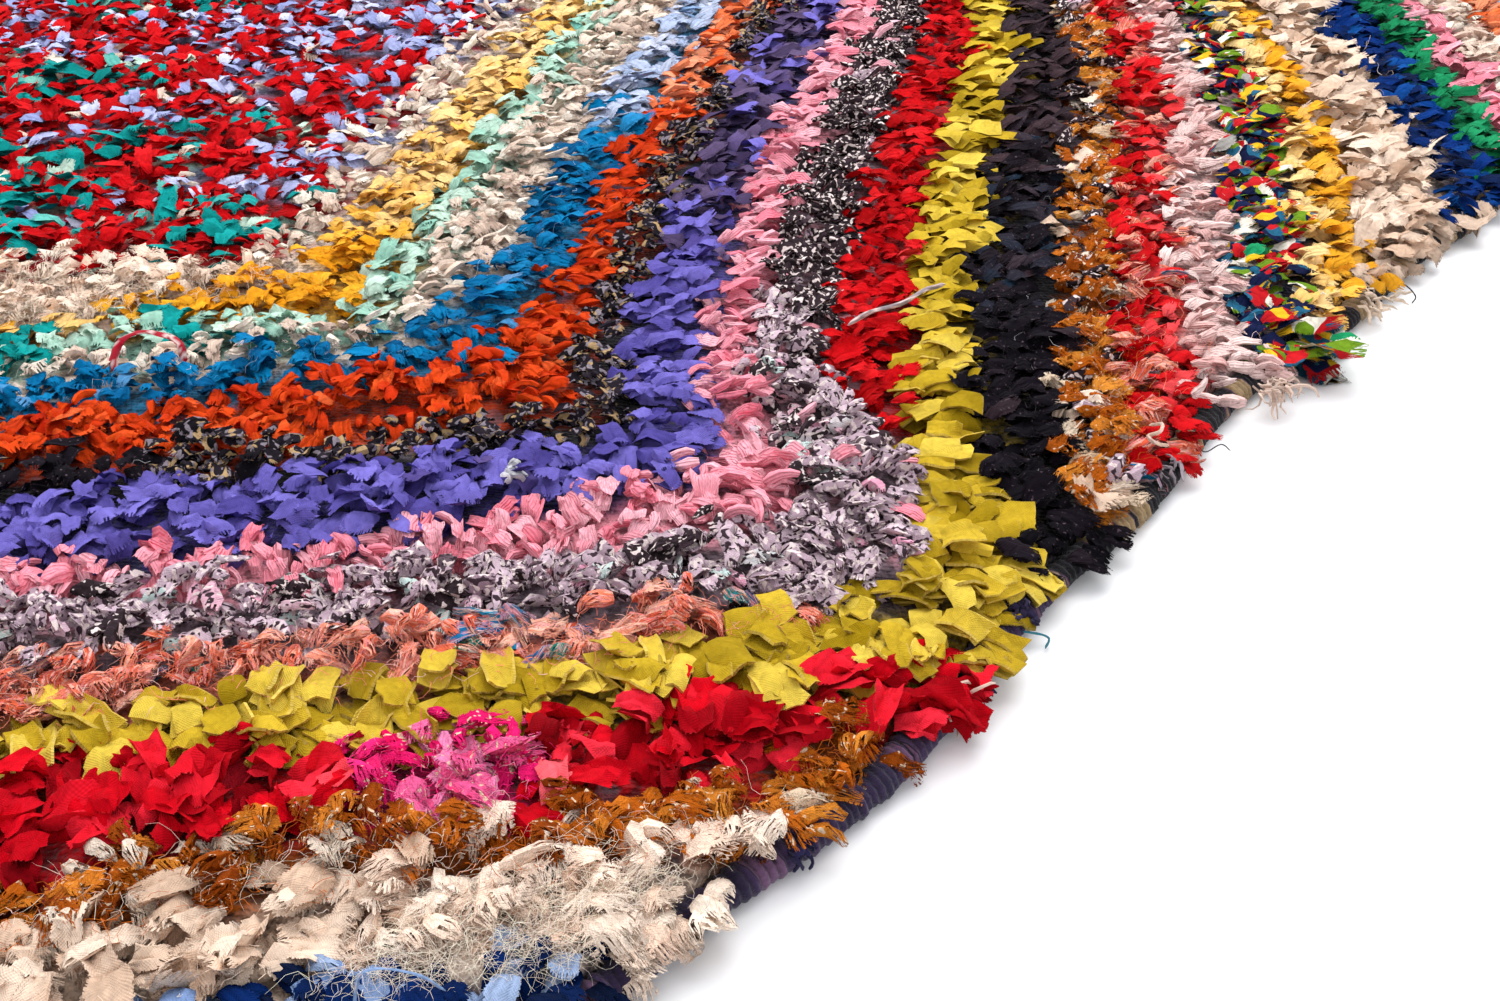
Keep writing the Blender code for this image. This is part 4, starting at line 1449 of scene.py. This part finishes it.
# Clumps of short ends: colour, middle, reach, how many, length, radius, and the way they lie
CLUMPS = (
    ((0.16, 0.13, 0.25), (0.7781, 0.0090, 0.011), 0.008, 30, (0.006, 0.011), (0.0009, 0.0019), -0.4),
    ((0.17, 0.14, 0.25), (0.7891, -0.0400, 0.008), 0.006, 22, (0.006, 0.011), (0.0007, 0.0015), 0.0),
    ((0.14, 0.12, 0.26), (0.7891, -0.1560, 0.008), 0.007, 30, (0.006, 0.011), (0.0008, 0.0017), -0.3),
    ((0.82, 0.72, 0.66), (0.7911, -0.0560, 0.010), 0.006, 14, (0.012, 0.020), (0.0006, 0.0014), -0.2),
    ((0.80, 0.70, 0.64), (0.7861, 0.2540, 0.014), 0.009, 26, (0.018, 0.028), (0.0006, 0.0013), -0.3),
    ((0.82, 0.74, 0.66), (0.7861, 0.3900, 0.012), 0.012, 16, (0.016, 0.024), (0.0007, 0.0015), 0.0),
    ((0.78, 0.78, 0.80), (0.5521, -0.0705, 0.028), 0.004, 7, (0.008, 0.012), (0.0012, 0.0022), 0.5),
    ((0.60, 0.55, 0.58), (0.7751, 0.1500, 0.012), 0.010, 16, (0.008, 0.014), (0.0006, 0.0012), -0.2),
)


def lay_cord(heap, radius, places, chance):
    """A cord through the given places: a curve that leaves each one along the line between its neighbours.

    Between two places the curve is the usual cubic in t with those two slopes. The cord's radius has three
    plies, a cosine of three times the angle that turns along it, and narrows at both ends.
    """
    places = np.array(places)
    slopes = np.gradient(places, axis=0)
    t = np.linspace(0, 1, 6)[:-1, None]
    parts = [
        (1 + 2 * t) * (1 - t) ** 2 * first
        + t * (1 - t) ** 2 * leave
        + t**2 * (3 - 2 * t) * second
        + t**2 * (t - 1) * reach
        for first, second, leave, reach in zip(places[:-1], places[1:], slopes[:-1], slopes[1:])
    ]
    path = np.concatenate(parts + [places[-1:]])[None]
    way = np.gradient(path[0], axis=0)[None]
    way = way / np.linalg.norm(way, axis=-1, keepdims=True)
    aside = np.cross(way, (0.0, 0.0, 1.0))
    aside = aside / np.maximum(np.linalg.norm(aside, axis=-1, keepdims=True), 1e-6)
    above = np.cross(way, aside)
    stations = path.shape[1]
    around = angles(7)
    s = np.arange(stations)[None, :, None]
    plies = 0.14 * np.cos(3 * around[None, None, :] + 0.9 * s)
    size = radius * (1 + plies + 0.06 * chance.normal(0, 1, (1, stations, 7)))
    ends = smooth((0.5 * (stations - 1) - np.abs(s - 0.5 * (stations - 1)) + 0.4) / 1.2)
    add_tubes(heap, path, aside, above, size * np.maximum(ends, 0.3), np.array([0.5]), chance)
    return stations * 7


def fray_mesh():
    """Frayed fibres that curl out of the pile, in the families that shed them, and the cords and clumps."""
    chance = np.random.default_rng(500)
    heap = Heap()
    colours = []
    for family in sorted(CUTS):
        amount = CUTS[family]["fray"]
        if not amount:
            continue
        x, y = scatter(0.0100 / np.sqrt(amount), chance)
        level = seen_level(x, y)
        mine = rag_family(x - LIE * 0.5, y, chance)[0] == family
        mine &= chance.random(len(x)) < np.array((0.0, 0.10, 0.25, 1.0))[level]
        x, y = x[mine], y[mine]
        if not len(x):
            continue
        start = np.stack((x, y, root_height(x, y) + chance.uniform(0.006, 0.014, len(x))), axis=-1)
        heading = nap_heading(x, y) + chance.uniform(-2.4, 2.4, len(x))
        dye = chance.random(len(x))
        woolly = family == "fleece"
        cells = (5, 3) if woolly else (4, 3)
        lay_rolls(heap, start, heading, dye, np.ones(len(x)), WOOL if woolly else FIBRE, cells, chance)
        tone = np.array(linear(middle_dye(family))) * (0.95 + 0.30 * dye[:, None])
        pale = chance.random(len(x)) < 0.2
        tone[pale] = 0.5 * tone[pale] + 0.40
        colours.append(np.repeat(np.minimum(tone, 0.95), 3 * (cells[0] + 1), axis=0))
    for tone, stitches, radius, places in CORDS:
        count = lay_cord(heap, radius, places, chance)
        shade = np.array(linear(tone)) * chance.uniform(0.75, 1.2, (count, 1))
        shade[chance.random(count) < stitches] = linear((0.86, 0.76, 0.74))
        colours.append(shade)
    for tone, middle, reach, count, length, radius, heading in CLUMPS:
        start = np.array(middle) + chance.normal(0, 0.5 * reach, (count, 3)) * (1.0, 1.0, 0.3)
        start[:, 2] = np.maximum(start[:, 2], 0.003)
        size = dict(FIBRE, length=length, radius=radius, rise=(-10, 35), fall=(-70, 0), round=0.4, taper=0.7)
        size.update(crumple=0.15, pleat=0.2)
        turn = heading + chance.uniform(-0.7, 0.7, count)
        lay_rolls(heap, start, turn, np.full(count, 0.5), np.ones(count), size, (5, 5), chance)
        shade = np.array(linear(tone)) * chance.uniform(0.7, 1.25, (count, 1))
        colours.append(np.repeat(shade, 30, axis=0))
    mesh = heap.mesh("frayed_fibres")
    add_shade(mesh, np.concatenate(colours))
    return mesh


# Sizes and light

FLOOR_REACH = 40.0
FLOOR_LEVEL = -0.0004  # just under the rug, so that the two don't share a plane
KEY_PLACE = (-0.2, 1.0, 1.9)
KEY_AIM = Vector((0.35, 0.1, 0.0))


class RugSizes(PropertyGroup):
    """Sizes of the rug that don't come from the solids."""

    ground_cell: FloatProperty(
        name="Ground cell",
        description="Size of a cell of the ground's grid",
        default=0.016,
        min=0.005,
        unit="LENGTH",
    )


class RugLight(PropertyGroup):
    """The stage's light and floor."""

    key_power: FloatProperty(
        name="Key light", description="Power of the soft light", default=60.0, unit="POWER"
    )
    key_size: FloatProperty(name="Key size", description="Side of the soft light", default=2.6, unit="LENGTH")
    fill: FloatProperty(name="Fill", description="Strength of the even light from all round", default=1.0)
    floor_colour: FloatVectorProperty(
        name="Floor", description="Colour of the floor", default=(0.93, 0.93, 0.94), subtype="COLOR", size=3
    )


class RUG_OT_ground(Operator):
    """Makes the woven ground under the pile"""

    bl_idname = "rug.ground"
    bl_label = "Woven ground"

    def execute(self, context):
        mesh = ground_mesh(context.scene.rug_sizes.ground_cell)
        piece = settle("woven_ground", mesh, ground_cloth())
        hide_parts("rug_cloth")
        return {"FINISHED"}


class RUG_OT_selvedges(Operator):
    """Makes the two overcast selvedges"""

    bl_idname = "rug.selvedges"
    bl_label = "Selvedges"

    def execute(self, context):
        yarn = binding_yarn(
            "selvedge yarn",
            (
                (0.0, 0.17, 0.13, 0.24),
                (0.12, 0.27, 0.20, 0.34),
                (0.3, 0.06, 0.05, 0.08),
                (0.42, 0.12, 0.10, 0.12),
                (0.75, 0.42, 0.30, 0.42),
                (1.0, 0.62, 0.52, 0.38),
            ),
        )
        for seed, side in enumerate(("right", "left")):
            name = "selvedge_yarn_" + side
            mesh = selvedge_mesh(side, name, np.random.default_rng(300 + seed))
            piece = settle(name, mesh, yarn)
            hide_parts("selvedge_" + side)
        return {"FINISHED"}


class RUG_OT_rags(Operator):
    """Makes the pile, one piece for each family of rags"""

    bl_idname = "rug.rags"
    bl_label = "Rag pile"

    def execute(self, context):
        for family, name in PIECE_NAMES.items():
            heap = grow_family(family)
            piece = settle(name, heap.mesh(name), cloth(family))
            if family == "chartreuse":
                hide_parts("rim_rags_right", "rim_rags_left")
            if family == "red":
                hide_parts("rim_rags_top", "rim_rags_bottom")
        return {"FINISHED"}


def declare_sheet():
    """Finds the woven ground and the other meshes shown besides the floor, and does nothing more with them.
    """
    ground = bpy.data.objects["woven_ground"]
    others = [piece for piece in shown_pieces() if piece.type == "MESH" and piece.name != ground.name]
    others = [piece for piece in others if piece.name != "floor" and not piece.hide_render]


class RUG_OT_fray(Operator):
    """Makes the frayed fibres that stand out of the pile"""

    bl_idname = "rug.fray"
    bl_label = "Frayed fibres"

    def execute(self, context):
        settle("frayed_fibres", fray_mesh(), thread_yarn())
        declare_sheet()
        return {"FINISHED"}


class RUG_OT_stage(Operator):
    """Makes the floor, the soft light and the camera"""

    bl_idname = "rug.stage"
    bl_label = "Stage"

    def execute(self, context):
        light = context.scene.rug_light
        mesh = bpy.data.meshes.new("floor")
        corners = [
            (FLOOR_REACH * x, FLOOR_REACH * y, FLOOR_LEVEL) for x, y in ((-1, -1), (1, -1), (1, 1), (-1, 1))
        ]
        mesh.from_pydata(corners, [], [(0, 1, 2, 3)])
        floor = bpy.data.objects.new("floor", mesh)
        context.scene.collection.objects.link(floor)
        paper = bpy.data.materials.new("pale floor")
        paper.use_nodes = True
        shader = paper.node_tree.nodes["Principled BSDF"]
        shader.inputs["Base Color"].default_value = (*light.floor_colour, 1.0)
        shader.inputs["Roughness"].default_value = 0.8
        mesh.materials.append(paper)
        floor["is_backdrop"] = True

        lamp = bpy.data.lights.new("soft light", "AREA")
        lamp.shape = "SQUARE"
        lamp.size = light.key_size
        lamp.energy = light.key_power
        key = bpy.data.objects.new("soft light", lamp)
        key.location = KEY_PLACE
        key.rotation_euler = (KEY_AIM - key.location).to_track_quat("-Z", "Y").to_euler()
        context.scene.collection.objects.link(key)

        world = bpy.data.worlds.new("soft surround")
        world.use_nodes = True
        world.node_tree.nodes["Background"].inputs["Color"].default_value = (0.96, 0.97, 1.0, 1.0)
        world.node_tree.nodes["Background"].inputs["Strength"].default_value = light.fill
        context.scene.world = world
        context.scene.view_settings.view_transform = "Standard"

        lens = bpy.data.cameras.new("camera")
        lens.lens = LENS
        lens.sensor_width = 36.0
        lens.clip_start = 0.01
        camera = bpy.data.objects.new("camera", lens)
        camera.location = EYE
        gaze = Vector((HEADING[0] * np.cos(TILT), HEADING[1] * np.cos(TILT), -np.sin(TILT)))
        camera.rotation_euler = gaze.to_track_quat("-Z", "Y").to_euler()
        context.scene.collection.objects.link(camera)
        context.scene.camera = camera
        return {"FINISHED"}


STEPS = (RUG_OT_ground, RUG_OT_selvedges, RUG_OT_rags, RUG_OT_fray, RUG_OT_stage)


class RUG_PT_panel(Panel):
    """Lists the rug's settings and the steps that make it"""

    bl_idname = "RUG_PT_panel"
    bl_label = "Boucherouite rug"
    bl_space_type = "VIEW_3D"
    bl_region_type = "UI"
    bl_category = "Rug"

    def draw(self, context):
        for group in (context.scene.rug_sizes, context.scene.rug_light):
            for key in group.bl_rna.properties.keys():
                if key not in ("rna_type", "name"):
                    self.layout.prop(group, key)
        for step in STEPS:
            self.layout.operator(step.bl_idname)


CLASSES = (RugSizes, RugLight, *STEPS, RUG_PT_panel)


def register():
    for kind in CLASSES:
        bpy.utils.register_class(kind)
    bpy.types.Scene.rug_sizes = PointerProperty(type=RugSizes)
    bpy.types.Scene.rug_light = PointerProperty(type=RugLight)


def unregister():
    del bpy.types.Scene.rug_light
    del bpy.types.Scene.rug_sizes
    for kind in reversed(CLASSES):
        bpy.utils.unregister_class(kind)


def main():
    """Makes the rug and its stage."""
    register()
    bpy.ops.rug.ground()
    bpy.ops.rug.selvedges()
    bpy.ops.rug.rags()
    bpy.ops.rug.fray()
    bpy.ops.rug.stage()


if __name__ == "__main__":
    main()
